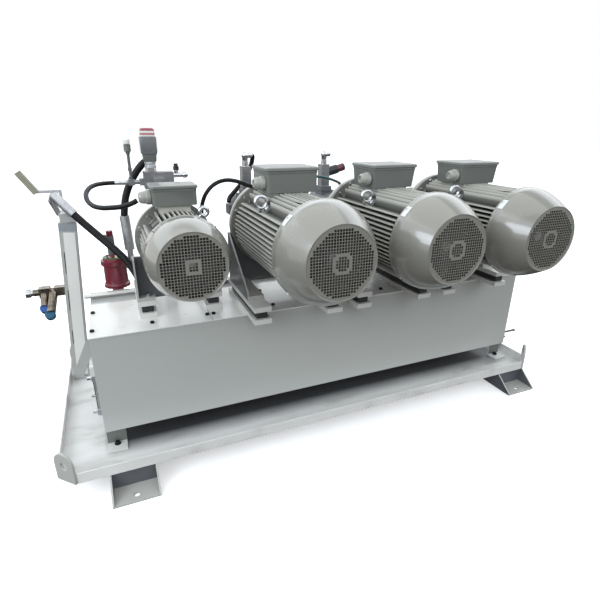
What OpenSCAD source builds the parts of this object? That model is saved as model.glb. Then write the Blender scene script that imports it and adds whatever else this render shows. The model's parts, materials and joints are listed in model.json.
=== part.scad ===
// Hydraulic power unit: a long oil tank in a drip tray, with four flange-mounted
// electric motors on damping rails, their pumps behind them, and the valves, hoses
// and filter that belong to them.
// X runs along the tank, -Y is the fan side, Z is up. The origin is the centre of
// the four anchor holes at floor level.

/* [Tank] */
// Length of the oil tank
tank_l = 2560; // [2500:10:2600]
// Depth of the oil tank, front to back
tank_d = 640; // [620:5:660]
// Height of the tank's underside over the floor
tank_z = 200; // [190:1:210]
// Height of the tank body without its cover plates
tank_h = 504; // [500:1:510]
// Sheet thickness of the tank
tank_t = 5; // [4:0.5:6]
// Thickness of the bolted cover plates
cover_t = 6; // [5:0.5:8]
// Y position of the tank's front face
tank_y = -435; // [-440:1:-430]

/* [Drip tray] */
// Height of the tray's underside over the floor
tray_z = 100; // [90:1:110]
// Overall height of the tray's rim
tray_h = 55; // [50:1:60]
// Sheet thickness of the tray
tray_t = 6; // [5:0.5:8]
// Depth of the tray, front to back
tray_d = 1250; // [1240:5:1260]
// How far the tray reaches past the tank's left end
tray_left = 210; // [205:1:215]
// How far the tray reaches past the tank's right end
tray_right = 65; // [60:1:70]
// Size of the tray's cut corners
tray_cut = 85; // [80:1:90]

/* [Anchor feet] */
// Distance between the anchor holes along X
anchor_x = 2350; // [2340:5:2360]
// Distance between the anchor holes along Y
anchor_y = 1370; // [1366:1:1374]
// Radius of an anchor hole
anchor_r = 13; // [11:0.5:14]
// Width of a foot
foot_w = 210; // [200:5:220]
// Plate thickness of a foot
foot_t = 8; // [6:1:10]

/* [Motors] */
// Distance between the three large motors
motor_pitch = 555; // [550:1:560]
// X position of the first large motor
motor_x = -320; // [-325:1:-315]
// X position of the small motor
small_x = -845; // [-850:1:-840]
// Fan cowl radius of a large motor
large_r = 222; // [218:1:226]
// Fan cowl radius of the small motor
small_r = 171; // [168:1:178]
// Shaft height of a large motor over the floor
large_axis = 1102; // [1100:1:1106]
// Shaft height of the small motor over the floor
small_axis = 1085; // [1083:1:1088]
// Clearance of a shaft in its bearing seats
shaft_gap = 0.05; // [0.02:0.01:0.1]
// Number of fan blades
fan_blades = 8; // [6:1:10]

/* [Damping rails] */
// Width of a rail
rail_w = 85; // [80:1:90]
// Thickness of a rail bar
rail_t = 25; // [24:0.5:26]
// Height of the rubber between two bars
rubber_h = 37; // [36:0.5:38]

/* [Hidden] */
$fn = 64;

EPS = 0.01;
cover_z = tank_z + tank_h;
deck_z = cover_z + cover_t;
tray_floor = tray_z + tray_t;
tray_x0 = -tank_l / 2 - tray_left;
tray_x1 = tank_l / 2 + tray_right;
tank_back = tank_y + tank_d;
rail_top = deck_z + 2 * rail_t + rubber_h;

// The motor bays: 0 is the small motor, 1 to 3 are the large ones.
BAYS = [0, 1, 2, 3];
function bay_x(n) = n == 0 ? small_x : motor_x + (n - 1) * motor_pitch;
function pick(n, small, large) = n == 0 ? small : large;
function axis_z(n) = pick(n, small_axis, large_axis);
function cowl_r(n) = pick(n, small_r, large_r);
// Y of the motor flange's mounting face
function face_y(n) = pick(n, -253, -143);
// Lengths along the motor, from the mounting face towards the fan
function motor_l(n) = pick(n, 517, 847);
function cowl_l(n) = pick(n, 170, 190);
function shield_l(n) = pick(n, 40, 47);
function flange_r(n) = pick(n, 180, 222);
function flange_t(n) = pick(n, 18, 22);
function shaft_r(n) = pick(n, 24, 30);
function rotor_r(n) = pick(n, 74, 95);
function rail_gap(n) = pick(n, 325, 382);
function rail_front(n) = pick(n, -300, -582);
function rail_l(n) = pick(n, 360, 500);
// Height of the shaft over the bracket's underside
function bracket_h(n) = axis_z(n) - rail_top;
bracket_t = 18;
function bell_l(n) = pick(n, 190, 230);
function pump_l(n) = pick(n, 300, 330);
function pump_r(n) = pick(n, 70, 85);
function port_top(n) = pick(n, 80, 98);
function port_bottom(n) = axis_z(n) - 1010;
// Y of the pump's front face and of its suction port
function pump_y(n) = face_y(n) + bracket_t + bell_l(n);
function suction_y(n) = pick(n, 172, 185);

STEEL = "silver";
MOTOR = [0.60, 0.60, 0.56];
PAINT = [0.86, 0.87, 0.84];
TANK = [0.74, 0.76, 0.74];
BLACK = [0.08, 0.08, 0.09];

// A motor's frame: the shaft is Z, the mounting face is z = 0, the fan is at +z, up is Y.
module bay(n) {
    translate([bay_x(n), face_y(n), axis_z(n)]) rotate([90, 0, 0]) children();
}

// A ring or disc on the Z axis
module ring(r, hole, z0, z1) {
    translate([0, 0, z0]) difference() {
        cylinder(r = r, h = z1 - z0);
        if (hole > 0) translate([0, 0, -1]) cylinder(r = hole, h = z1 - z0 + 2);
    }
}

// A round bar from point a to point b
module rod(a, b, r) {
    d = b - a;
    l = norm(d);
    translate(a) rotate([0, acos(d[2] / l), atan2(d[1], d[0])]) cylinder(r = r, h = l);
}

// A rectangle with its corners cut at 45 degrees
module cut_rectangle(x0, x1, y0, y1, c) {
    polygon([[x0 + c, y0], [x1 - c, y0], [x1, y0 + c], [x1, y1 - c],
             [x1 - c, y1], [x0 + c, y1], [x0, y1 - c], [x0, y0 + c]]);
}

// A hose: a round tube swept along its route. flat is a direction that no part of it takes.
hose_sides = 10;
function unit(v) = v / norm(v);
function tangent(path, i) = unit(path[min(i + 1, len(path) - 1)] - path[max(i - 1, 0)]);
function ring_point(path, i, k, r, flat) =
    let (t = tangent(path, i), u = unit(cross(flat, t)), v = cross(t, u), a = 360 * k / hose_sides)
    path[i] + r * (cos(a) * u + sin(a) * v);
// Points along a smooth curve through the route's points
route_steps = 3;
function knot(p, i) = p[max(0, min(len(p) - 1, i))];
function blend(a, b, c, d, t) = 0.5 * (2 * b + (c - a) * t + (2 * a - 5 * b + 4 * c - d) * t * t
    + (3 * b - a - 3 * c + d) * t * t * t);
function smooth(p) = [for (k = [0 : route_steps * (len(p) - 1)])
    let (i = min(floor(k / route_steps), len(p) - 2), t = k / route_steps - i)
    blend(knot(p, i - 1), knot(p, i), knot(p, i + 1), knot(p, i + 2), t)];
module hose(route, r, flat) {
    path = smooth(route);
    n = len(path);
    s = hose_sides;
    points = [for (i = [0 : n - 1]) for (k = [0 : s - 1]) ring_point(path, i, k, r, flat)];
    walls = [for (i = [0 : n - 2]) for (k = [0 : s - 1])
        [i * s + k, (i + 1) * s + k, (i + 1) * s + (k + 1) % s, i * s + (k + 1) % s]];
    first = [[for (k = [0 : s - 1]) k]];
    last = [[for (k = [s - 1 : -1 : 0]) (n - 1) * s + k]];
    color(BLACK) polyhedron(points, concat(walls, first, last), convexity = 6);
}

// ---- Tray, feet and lugs ----

module drip_tray() {
    inner = tray_cut - tray_t * (2 - sqrt(2));
    color(PAINT) translate([0, 0, tray_z]) difference() {
        linear_extrude(tray_h) cut_rectangle(tray_x0, tray_x1, -tray_d / 2, tray_d / 2, tray_cut);
        translate([0, 0, tray_t]) linear_extrude(tray_h)
            cut_rectangle(tray_x0 + tray_t, tray_x1 - tray_t, -tray_d / 2 + tray_t,
                tray_d / 2 - tray_t, inner);
    }
}

// One foot, its toe at y = 0 and its heel under the tray at +y
module tray_foot() {
    toe = 43;
    web_y = 117;
    heel = 240;
    difference() {
        translate([-foot_w / 2, 0, 0]) cube([foot_w, web_y + foot_t, foot_t]);
        translate([0, toe, -1]) cylinder(r = anchor_r, h = foot_t + 2);
    }
    translate([-foot_w / 2, web_y, 0]) cube([foot_w, foot_t, tray_z]);
    for (x = [-foot_w / 2, foot_w / 2 - foot_t])
        translate([x + foot_t, 0, 0]) rotate([90, 0, -90]) linear_extrude(foot_t)
            polygon([[0, 0], [-heel, 0], [-heel, tray_z], [-web_y + 10, tray_z], [0, foot_t + 2]]);
}

module tray_feet() {
    toe = 43;
    color(PAINT) for (sx = [-1, 1]) for (sy = [0, 1])
        translate([sx * anchor_x / 2, 0, 0]) mirror([0, sy, 0])
            translate([0, -anchor_y / 2 - toe, 0]) tray_foot();
}

lug_w = 110;
lug_t = 12;
lug_hole_r = 20;
lug_hole_z = 185;

module lifting_lug() {
    round_z = 195;
    rotate([90, 0, 0]) linear_extrude(lug_t) difference() {
        union() {
            translate([-lug_w / 2, tray_z]) square([lug_w, round_z - tray_z]);
            translate([0, round_z]) circle(r = lug_w / 2);
        }
        translate([0, lug_hole_z]) circle(r = lug_hole_r);
    }
}

module lifting_lugs() {
    y = tray_d / 2 - tray_cut / 2;
    color(PAINT) {
        translate([tray_x0 + tray_cut / 2, -y, 0]) rotate([0, 0, -45]) lifting_lug();
        translate([tray_x1 - tray_cut / 2, -y, 0]) rotate([0, 0, 45]) lifting_lug();
        translate([tray_x1 - tray_cut / 2, y, 0]) rotate([0, 0, 135]) lifting_lug();
        translate([tray_x0 + tray_cut / 2, y, 0]) rotate([0, 0, -135]) lifting_lug();
    }
}

// ---- Tank ----

first_cover = 560;
cover_d = 429;
function cover_x0(i) = i == 0 ? -tank_l / 2 : -tank_l / 2 + first_cover + (i - 1) * other_cover;
function cover_l(i) = i == 0 ? first_cover : other_cover;
other_cover = (tank_l - first_cover) / 3;
hatch_margin = 50;

module tank_shell() {
    color(TANK) difference() {
        translate([-tank_l / 2, tank_y, tank_z]) cube([tank_l, tank_d, tank_h]);
        translate([-tank_l / 2 + tank_t, tank_y + tank_t, tank_z + tank_t])
            cube([tank_l - 2 * tank_t, tank_d - 2 * tank_t, tank_h - 2 * tank_t]);
        for (i = BAYS)
            translate([cover_x0(i) + hatch_margin, tank_y + hatch_margin, cover_z - tank_t - 1])
                cube([cover_l(i) - 2 * hatch_margin, cover_d - 2 * hatch_margin, tank_t + 2]);
    }
}

leg_w = 90;
leg_t = 8;
leg_flange = 40;
leg_in = 30;
leg_places = [-tank_l / 2, tank_l / 2 - leg_w];

// An angle that stands on the tray's floor and holds the tank's lower edge
module tank_foot() {
    translate([0, leg_in, tray_floor]) cube([leg_w, leg_t, tank_z - tray_floor]);
    translate([0, -leg_flange, tray_floor]) cube([leg_w, leg_flange + leg_in + EPS, leg_t]);
}

module tank_feet() {
    color(PAINT) for (x = leg_places) {
        translate([x, tank_y, 0]) tank_foot();
        translate([x, tank_back, 0]) mirror([0, 1, 0]) tank_foot();
    }
}

module tank_covers() {
    gap = 1.5;
    lip = 4;
    color(PAINT) for (i = BAYS)
        translate([cover_x0(i) + gap, tank_y - lip, cover_z])
            cube([cover_l(i) - 2 * gap, cover_d, cover_t]);
}

cover_bolt_in = 16;
cover_rows = [68, 298];
// Whether a point on the deck lies under one of the damping rails
function under_rail(x, y) = max([for (n = BAYS) for (s = [-1, 1])
    abs(x - bay_x(n) - s * rail_gap(n) / 2) < rail_w / 2 + 14
    && y > rail_front(n) - 14 && y < rail_front(n) + rail_l(n) + 14 ? 1 : 0]) == 1;
function cover_bolt_x(i, k) = cover_x0(i) + cover_bolt_in + k * (cover_l(i) / 2 - cover_bolt_in);

module cover_bolts() {
    head_r = 10;
    head_h = 9;
    leg_head_r = 12;
    leg_head_h = 14;
    color(BLACK) {
        for (i = BAYS) for (k = [0 : 2]) for (y = cover_rows)
            if (!under_rail(cover_bolt_x(i, k), tank_y + y))
                translate([cover_bolt_x(i, k), tank_y + y, deck_z])
                    cylinder(r = head_r, h = head_h);
        for (x = leg_places) for (y = [tank_y + 14, tank_back - 14])
            translate([x + leg_w / 2, y, tray_floor + leg_t])
                cylinder(r = leg_head_r, h = leg_head_h, $fn = 6);
    }
}

module rear_crossbar() {
    bar_y = 80;
    bar_d = 35;
    bar_h = 17;
    bar_t = 5;
    over = 30;
    color(PAINT) translate([-tank_l / 2 - over, bar_y, cover_z]) difference() {
        cube([tank_l + over - 4, bar_d, cover_t + bar_h]);
        translate([-1, -bar_t, -1]) cube([tank_l + over, bar_d, cover_t + bar_h - bar_t + 1]);
    }
}

module level_gauge() {
    y = -327;
    z0 = 240;
    z1 = 525;
    bolts = [264, 454];
    w = 34;
    color(STEEL) translate([-tank_l / 2, y, 0]) {
        for (z = bolts) {
            translate([-28, -w / 2, z - 18]) cube([28, w, 36]);
            rod([-27, 0, z], [-48, 0, z], 9);
        }
        translate([-24, -w / 2 + 3, z0]) cube([17, w - 6, z1 - z0]);
        rod([-23, 0, 354], [-42, 0, 354], 7);
    }
}

// ---- Support post with its ball valve ----

post_foot = [-1424, 365, tray_floor];
post_lean = 4.5;
post_w = 90;
post_l = 980;
valve_at = [-1342, 365, 1085];
lever_x = valve_at[0] - 4;
lever_y = 392;
stem_z = 1168;

module support_post() {
    wall = 4;
    gusset_t = 8;
    color(PAINT) {
        intersection() {
            translate(post_foot) rotate([0, post_lean, 0]) difference() {
                translate([-post_w / 2, -35, -20]) cube([post_w, 70, post_l + 20]);
                translate([-post_w / 2 + wall, -35 + wall, -30])
                    cube([post_w - 2 * wall, 70 - 2 * wall, post_l + 10]);
            }
            translate([-1600, 200, tray_floor]) cube([500, 400, valve_at[2] - tray_floor]);
        }
        translate([0, post_foot[1] - 35, 0]) rotate([90, 0, 0]) linear_extrude(gusset_t)
            polygon([[-1372, tray_floor], [-1466, tray_floor], [-1466, 150], [-1358, 373],
                [-1350, 373], [-1350, 250], [-1410, 130]]);
    }
}

module post_valve() {
    body_h = 50;
    color(PAINT) translate(valve_at) {
        translate([-38, -32, 0]) cube([76, 64, body_h]);
        translate([-4, 0, body_h - EPS]) cylinder(r1 = 36, r2 = 16, h = 20);
        translate([-4, 27, body_h]) cylinder(r = 14, h = stem_z - valve_at[2] - body_h - 4);
        translate([-4, 27, body_h]) cylinder(r = 7, h = stem_z - valve_at[2] - body_h + 22);
    }
}

// A flat bar lever with two bends and a plastic sleeve
module post_valve_lever() {
    bar = 12;
    wide = 28;
    reach = 130;
    grip = 132;
    rise = 58;
    color(STEEL) translate([lever_x, lever_y, stem_z]) {
        difference() {
            translate([0, 0, 0]) cylinder(r = 16, h = 24);
            translate([0, 0, -1]) cylinder(r = 7 + shaft_gap, h = 60);
        }
        translate([-16, -wide / 2, 24]) cube([bar, wide, 66]);
        translate([-reach, -wide / 2, 76]) cube([reach - 4, wide, bar + 2]);
    }
    color([0.62, 0.60, 0.50]) translate([lever_x - reach, lever_y, stem_z + 84])
        rotate([0, -(90 - rise), 0]) translate([-15, -18, -8]) cube([30, 36, grip]);
}

// ---- Drain, filler and filter ----

drain_y = -380;
drain_z = 220;
drain_x = tank_l / 2;

module drain_valve() {
    color(STEEL) {
        rod([drain_x, drain_y, drain_z], [drain_x + 62, drain_y, drain_z], 13);
        translate([drain_x + 34, drain_y, drain_z]) sphere(r = 19);
        translate([drain_x + 34, drain_y, drain_z]) cylinder(r = 8, h = 26);
        translate([drain_x + 34, drain_y, drain_z]) cylinder(r = 4, h = 38);
    }
}

module drain_lever() {
    color(BLACK) translate([drain_x + 34, drain_y, drain_z + 27]) difference() {
        union() {
            cylinder(r = 9, h = 8);
            translate([0, -7, 0]) cube([112, 14, 6]);
            translate([112, 0, 0]) cylinder(r = 11, h = 6);
        }
        translate([0, 0, -1]) cylinder(r = 4 + shaft_gap, h = 20);
        translate([112, 0, -1]) cylinder(r = 5, h = 20);
    }
}

filler_at = [1150, 162, cover_z];

module filler_neck() {
    color(STEEL) translate(filler_at) difference() {
        union() {
            cylinder(r = 40, h = 8);
            cylinder(r = 30, h = 56);
        }
        translate([0, 0, -1]) cylinder(r = 25, h = 80);
    }
}

module breather_cap() {
    color(BLACK) translate(filler_at) difference() {
        union() {
            translate([0, 0, 30]) cylinder(r = 42, h = 50);
            translate([0, 0, 80 - EPS]) cylinder(r1 = 42, r2 = 34, h = 10);
        }
        translate([0, 0, 29]) cylinder(r = 30 + shaft_gap, h = 31);
    }
}

filter_at = [-1135, 304, 700];
filter_h = 160;
indicator_x = 8;

module return_filter() {
    color([0.36, 0.10, 0.13]) {
        translate(filter_at) rotate_extrude() polygon([[0, 0], [72, 0], [72, 16], [64, 24],
            [62, filter_h - 36], [74, filter_h - 24], [74, filter_h], [0, filter_h]]);
        translate([filter_at[0] - 30, tank_back, filter_at[2] - 60]) cube([60, 40, 60]);
        translate([filter_at[0] - 30, tank_back + 20, filter_at[2] - 30]) cube([60, 90, 32]);
    }
}

module filter_lid() {
    color([0.45, 0.16, 0.18]) translate([filter_at[0], filter_at[1], filter_at[2] + filter_h]) {
        cylinder(r = 60, h = 14);
        translate([-indicator_x, 0, 0]) cylinder(r = 15, h = 32);
        for (a = [45 : 90 : 315]) rotate([0, 0, a]) translate([48, 0, 0])
            cylinder(r = 8, h = 22, $fn = 6);
    }
}

module clogging_indicator() {
    z = filter_at[2] + filter_h + 32;
    color([0.3, 0.28, 0.28]) translate([filter_at[0] - indicator_x, filter_at[1], z]) {
        cylinder(r = 18, h = 44);
        translate([-20, -20, 44]) cube([44, 40, 64]);
        translate([-30, -12, 86]) cube([14, 24, 30]);
    }
    color([0.5, 0.25, 0.26]) translate([filter_at[0] - indicator_x + 4, filter_at[1], z + 108])
        cylinder(r = 18, h = 30);
}

// ---- Rails and brackets ----

module rail_places(n) {
    for (s = [-1, 1])
        translate([bay_x(n) + s * rail_gap(n) / 2, rail_front(n), 0]) children();
}

module damping_rails() {
    color(PAINT) for (n = BAYS) rail_places(n) {
        translate([-rail_w / 2, 0, deck_z]) cube([rail_w, rail_l(n), rail_t]);
        translate([-rail_w / 2, 0, rail_top - rail_t]) difference() {
            cube([rail_w, rail_l(n), rail_t]);
            translate([rail_w / 2, 40, -1]) cylinder(r = 9, h = rail_t + 2);
        }
    }
}

module rail_rubbers() {
    set_in = 15;
    color(BLACK) for (n = BAYS) rail_places(n)
        translate([-rail_w / 2 + set_in, set_in, deck_z + rail_t])
            cube([rail_w - 2 * set_in, rail_l(n) - 2 * set_in, rubber_h]);
}

function bracket_half(n) = (rail_gap(n) + rail_w) / 2;
gusset_t = 8;
small_foot = 45;
large_foot = 327;
function foot_reach(n) = pick(n, small_foot, large_foot);

module bracket(n) {
    h = bracket_h(n);
    half = bracket_half(n);
    shoulder = pick(n, -75, -37);
    toe_y = pick(n, -75, 22 + bracket_t - h);
    translate([0, 0, -bracket_t]) linear_extrude(bracket_t) difference() {
        union() {
            circle(r = flange_r(n));
            translate([-half, -h]) square([2 * half, h + shoulder]);
        }
        circle(r = rotor_r(n));
    }
    for (s = [-1, 1]) {
        translate([s * (half - rail_w / 2) - rail_w / 2, -h, -EPS])
            cube([rail_w, bracket_t, foot_reach(n) + EPS]);
        translate([s * (half - gusset_t / 2) + gusset_t / 2, 0, 0]) rotate([0, -90, 0])
            linear_extrude(gusset_t) polygon([[-EPS, -h], [foot_reach(n), -h],
                [foot_reach(n), toe_y], [-EPS, shoulder]]);
    }
}

module motor_brackets() {
    color(MOTOR) for (n = BAYS) bay(n) bracket(n);
}

module bracket_bolts() {
    head_r = 13;
    head_h = 13;
    flange_bolts = 8;
    color(STEEL) for (n = BAYS) {
        bay(n) for (k = [0 : flange_bolts - 1])
            rotate([0, 0, 22.5 + 360 * k / flange_bolts])
                translate([flange_r(n) - 18, 0, flange_t(n)])
                    cylinder(r = head_r, h = head_h, $fn = 6);
        for (s = [-1, 1])
            translate([bay_x(n) + s * (rail_gap(n) / 2 - 8), face_y(n) - 24, rail_top + bracket_t])
                cylinder(r = head_r, h = head_h, $fn = 6);
    }
}

// ---- Motors ----

fin_pitch = 20;
fin_t = 6;
core_ratio = 0.765;
fin_ratio = 0.94;

// Two-dimensional section of the finned housing
module fin_section(n) {
    r = cowl_r(n);
    tip = r * fin_ratio;
    rows = floor(r * 0.56 / fin_pitch);
    circle(r = r * core_ratio);
    for (k = [-rows : rows]) {
        reach = sqrt(tip * tip - k * k * fin_pitch * fin_pitch);
        translate([-reach, k * fin_pitch - fin_t / 2]) square([2 * reach, fin_t]);
        translate([k * fin_pitch - fin_t / 2, -reach]) square([fin_t, 2 * reach]);
    }
}

// Where the terminal box sits, measured from the mounting face towards the fan
function box_z0(n) = pick(n, 20, 122);
function box_l(n) = pick(n, 150, 220);
function box_w(n) = pick(n, 192, 254);
function box_h(n) = pick(n, 73, 98);
function box_y(n) = pick(n, 180, 203);
function lid_t(n) = pick(n, 14, 16);
// Signed side of the lifting eye
function eye_side(n) = pick(n, 1, -1);
function eye_z(n) = pick(n, 162, 337);
function eye_r(n) = pick(n, 27, 36);
function eye_angle(n) = pick(n, 51, 47);
// Gap from the eye's seat to the ring
function eye_gap(n) = pick(n, 17, 4);

module stator_housing(n) {
    r = cowl_r(n);
    z1 = motor_l(n) - cowl_l(n) + 10;
    end_wall = 45;
    difference() {
        union() {
            translate([0, 0, shield_l(n)]) linear_extrude(z1 - shield_l(n)) fin_section(n);
            translate([-box_w(n) * 0.34, r * core_ratio - 12, box_z0(n) + 24])
                cube([box_w(n) * 0.68, box_y(n) - r * core_ratio + 12, box_l(n) - 42]);
            for (s = [-1, 1]) rotate([0, 0, 90 + s * (90 - eye_angle(n))])
                translate([r * 0.6, -24, eye_z(n) - 30]) cube([r * 0.25, 48, 60]);
        }
        translate([0, 0, -1]) cylinder(r = rotor_r(n) + 1, h = z1 - end_wall);
        cylinder(r = shaft_r(n) + shaft_gap, h = z1 + 1);
        translate([-box_w(n) / 2, box_y(n), 0]) cube([box_w(n), 60, z1]);
        translate([0, 0, eye_z(n)]) rotate([0, 0, 90 - eye_side(n) * (90 - eye_angle(n))])
            translate([r * 0.85, 0, 0]) rotate([0, 90, 0]) cylinder(r = eye_r(n) + 4, h = 60);
    }
}

module stator_housings() {
    color(MOTOR) for (n = BAYS) bay(n) stator_housing(n);
}

module drive_end_shields() {
    color(MOTOR) for (n = BAYS) bay(n) difference() {
        union() {
            cylinder(r = flange_r(n), h = flange_t(n));
            cylinder(r = cowl_r(n) * 0.8, h = shield_l(n));
            for (a = [0 : 45 : 315]) rotate([0, 0, a])
                translate([rotor_r(n), -6, 0]) cube([flange_r(n) - 14 - rotor_r(n), 12, shield_l(n) - 8]);
        }
        translate([0, 0, -1]) cylinder(r = shaft_r(n) + shaft_gap, h = shield_l(n) + 2);
    }
}

module terminal_boxes() {
    wall = 5;
    color(MOTOR) for (n = BAYS) bay(n) translate([-box_w(n) / 2, box_y(n), box_z0(n)])
        difference() {
            cube([box_w(n), box_h(n), box_l(n)]);
            translate([wall, wall, wall])
                cube([box_w(n) - 2 * wall, box_h(n), box_l(n) - 2 * wall]);
        }
}

module terminal_box_lids() {
    over = 5;
    color(MOTOR) for (n = BAYS) bay(n)
        translate([-box_w(n) / 2 - over, box_y(n) + box_h(n), box_z0(n) - over])
            cube([box_w(n) + 2 * over, lid_t(n), box_l(n) + 2 * over]);
}

gland_r = 33;
gland_l = 50;

module cable_glands() {
    color(MOTOR) for (n = BAYS) bay(n)
        translate([-box_w(n) / 2, box_y(n) + box_h(n) * 0.45, box_z0(n) + box_l(n) - pick(n, 75, 48)])
            rotate([0, -90, 0]) {
                cylinder(r = gland_r + 6, h = 14, $fn = 6);
                cylinder(r = gland_r, h = gland_l);
            }
}

module lifting_eyes() {
    shank = 0.85;
    color(STEEL) for (n = BAYS) bay(n) translate([0, 0, eye_z(n)])
        rotate([0, 0, 90 - eye_side(n) * (90 - eye_angle(n))]) {
            from = cowl_r(n) * shank;
            centre = from + eye_gap(n) + eye_r(n);
            translate([from, 0, 0]) rotate([0, 90, 0]) cylinder(r = 18, h = 8);
            translate([from, 0, 0]) rotate([0, 90, 0]) cylinder(r = 9, h = eye_gap(n) + 12);
            translate([centre, 0, 0]) rotate_extrude()
                translate([eye_r(n) - 9, 0]) circle(r = 9);
        }
}

module fan_cowl(n) {
    r = cowl_r(n);
    l = cowl_l(n);
    disc = r * pick(n, 0.81, 0.70);
    bulge = pick(n, 110, 150);
    wall = 4;
    steps = 8;
    shoulder = [for (k = [0 : steps])
        [disc + (r - disc) * (1 - pow(k / steps, 1.4)), l - bulge + bulge * k / steps]];
    inside = [for (p = shoulder) [p[0] - wall, p[1] - wall]];
    rim = [[r, 0]];
    back = [[r - wall, 0]];
    color(MOTOR) bay(n) translate([0, 0, motor_l(n) - l]) rotate_extrude()
        polygon(concat(rim, shoulder, [[0, l], [0, l - wall]],
            [for (k = [steps : -1 : 0]) inside[k]], back));
}

module cooling_fan(n) {
    r = cowl_r(n) * 0.74;
    z0 = motor_l(n) - cowl_l(n) + 30;
    l = pick(n, 90, 80);
    bore = shaft_r(n) * 0.8;
    color([0.25, 0.25, 0.26]) bay(n) translate([0, 0, z0]) difference() {
        union() {
            cylinder(r = 40, h = l);
            cylinder(r = r, h = 5);
            for (k = [0 : fan_blades - 1]) rotate([0, 0, 360 * k / fan_blades])
                translate([30, -2, 1]) cube([r - 34, 4, l - 4]);
        }
        translate([0, 0, -1]) cylinder(r = bore, h = l + 2);
    }
}

// Shaft with its rotor core and its coupling to the pump
module rotor_shaft(n) {
    r = shaft_r(n);
    core_z = shield_l(n) + 30;
    core_l = motor_l(n) - cowl_l(n) - 90 - core_z;
    fan_z = motor_l(n) - cowl_l(n) + 30;
    hub_r = pick(n, 48, 60);
    hub_z = -bracket_t - bell_l(n) + 30;
    hub_l = bell_l(n) - 40;
    pump_shaft_r = 18;
    pump_shaft_l = 70;
    color(STEEL) bay(n) union() {
        translate([0, 0, hub_z]) cylinder(r = r, h = fan_z - hub_z);
        translate([0, 0, core_z]) cylinder(r = rotor_r(n), h = core_l);
        translate([0, 0, fan_z - EPS]) cylinder(r = r * 0.8, h = pick(n, 100, 90));
        difference() {
            translate([0, 0, hub_z]) cylinder(r = hub_r, h = hub_l);
            translate([0, 0, hub_z + hub_l / 2 - 8]) ring(hub_r + 1, hub_r - 8, 0, 16);
        }
        translate([0, 0, hub_z - pump_shaft_l + EPS]) cylinder(r = pump_shaft_r, h = pump_shaft_l);
    }
}

// ---- Bell housings and pumps ----

module bell_housings() {
    color([0.45, 0.46, 0.47]) for (n = BAYS) bay(n) {
        z1 = -bracket_t;
        z0 = z1 - bell_l(n);
        wide = flange_r(n) * 0.8;
        slim = pump_r(n) + 30;
        inner = pick(n, 60, 75);
        translate([0, 0, z0]) rotate_extrude() polygon([[inner, 0], [slim, 0], [slim, 22],
            [slim - 14, 34], [wide - 24, bell_l(n) - 40], [wide, bell_l(n) - 22],
            [wide, bell_l(n)], [inner, bell_l(n)]]);
    }
}

module pumps() {
    bore = 18 + shaft_gap;
    color([0.35, 0.36, 0.38]) for (n = BAYS) bay(n) {
        z1 = -bracket_t - bell_l(n);
        r = pump_r(n);
        suction = face_y(n) - suction_y(n);
        difference() {
            union() {
                translate([0, 0, z1 - 24]) cylinder(r = r + 26, h = 24);
                translate([0, 0, z1 - pump_l(n)]) cylinder(r = r, h = pump_l(n));
                translate([0, 0, z1 - pump_l(n) - 20]) cylinder(r = r * 0.6, h = 30);
                translate([-52, -port_bottom(n), suction - 52]) cube([104, port_bottom(n), 104]);
                translate([-50, 0, z1 - 260]) cube([100, port_top(n), 110]);
                translate([-r - 24, -30, z1 - pump_l(n) + 30]) cube([40, 60, 90]);
            }
            translate([0, 0, z1 - 60]) cylinder(r = bore, h = 80);
        }
    }
}

module suction_pipes() {
    pipe_r = 34;
    flange = 52;
    color(STEEL) for (n = BAYS) translate([bay_x(n), suction_y(n), 0]) {
        translate([0, 0, cover_z]) cylinder(r = 50, h = 14);
        translate([0, 0, cover_z]) cylinder(r = pipe_r, h = 1010 - cover_z);
        translate([-flange, -flange, 990]) cube([2 * flange, 2 * flange, 20]);
    }
}

// ---- Valves of the small pump ----

block_x = [-918, -760];
block_y = [215, 315];
block_z = [1262, 1352];
small_stack_z = small_axis + 80;

module valve_block() {
    mid_x = -845;
    mid_y = (block_y[0] + block_y[1]) / 2;
    tee_x = -985;
    color([0.55, 0.53, 0.53]) {
        translate([block_x[0], block_y[0], block_z[0]])
            cube([block_x[1] - block_x[0], block_y[1] - block_y[0], block_z[1] - block_z[0]]);
        translate([mid_x, 156, small_stack_z]) cylinder(r = 30, h = 97 + EPS);
        translate([mid_x - 30, 156, block_z[0]]) cube([60, 60, 60]);
        rod([block_x[0] + 5, mid_y, 1298], [-1010, mid_y, 1298], 12);
        translate([tee_x - 16, mid_y - 16, 1282]) cube([32, 32, 32]);
        translate([block_x[0] - 24, mid_y - 18, 1280]) cube([26, 36, 36]);
    }
}

module solenoid_valve() {
    x = -875;
    y = 265;
    neck_z = block_z[1];
    color([0.46, 0.47, 0.48]) {
        translate([x, y, neck_z]) cylinder(r = 31, h = 22);
        translate([x, y, neck_z + 20]) cylinder(r = 30, h = 40);
        translate([x - 37, y - 37, neck_z + 54]) cube([74, 74, 40]);
        translate([x - 43, y - 43, neck_z + 92]) cube([86, 86, 92]);
    }
    color([0.72, 0.5, 0.5]) translate([x - 38, y - 38, neck_z + 184 - EPS]) cube([76, 76, 44]);
}

isolator_at = [-738, 265, 1330];

module isolator_body() {
    color(STEEL) translate(isolator_at) {
        rod([-22, 0, 0], [46, 0, 0], 14);
        translate([46, 0, 0]) sphere(r = 18);
        cylinder(r = 12, h = 26);
        cylinder(r = 4, h = 40);
    }
}

module isolator_knob() {
    color(BLACK) translate(isolator_at + [0, 0, 27]) difference() {
        union() {
            cylinder(r = 16, h = 20);
            translate([0, 0, 20 - EPS]) cylinder(r = 12, h = 16);
        }
        translate([0, 0, -1]) cylinder(r = 4 + shaft_gap, h = 15);
    }
}

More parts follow.
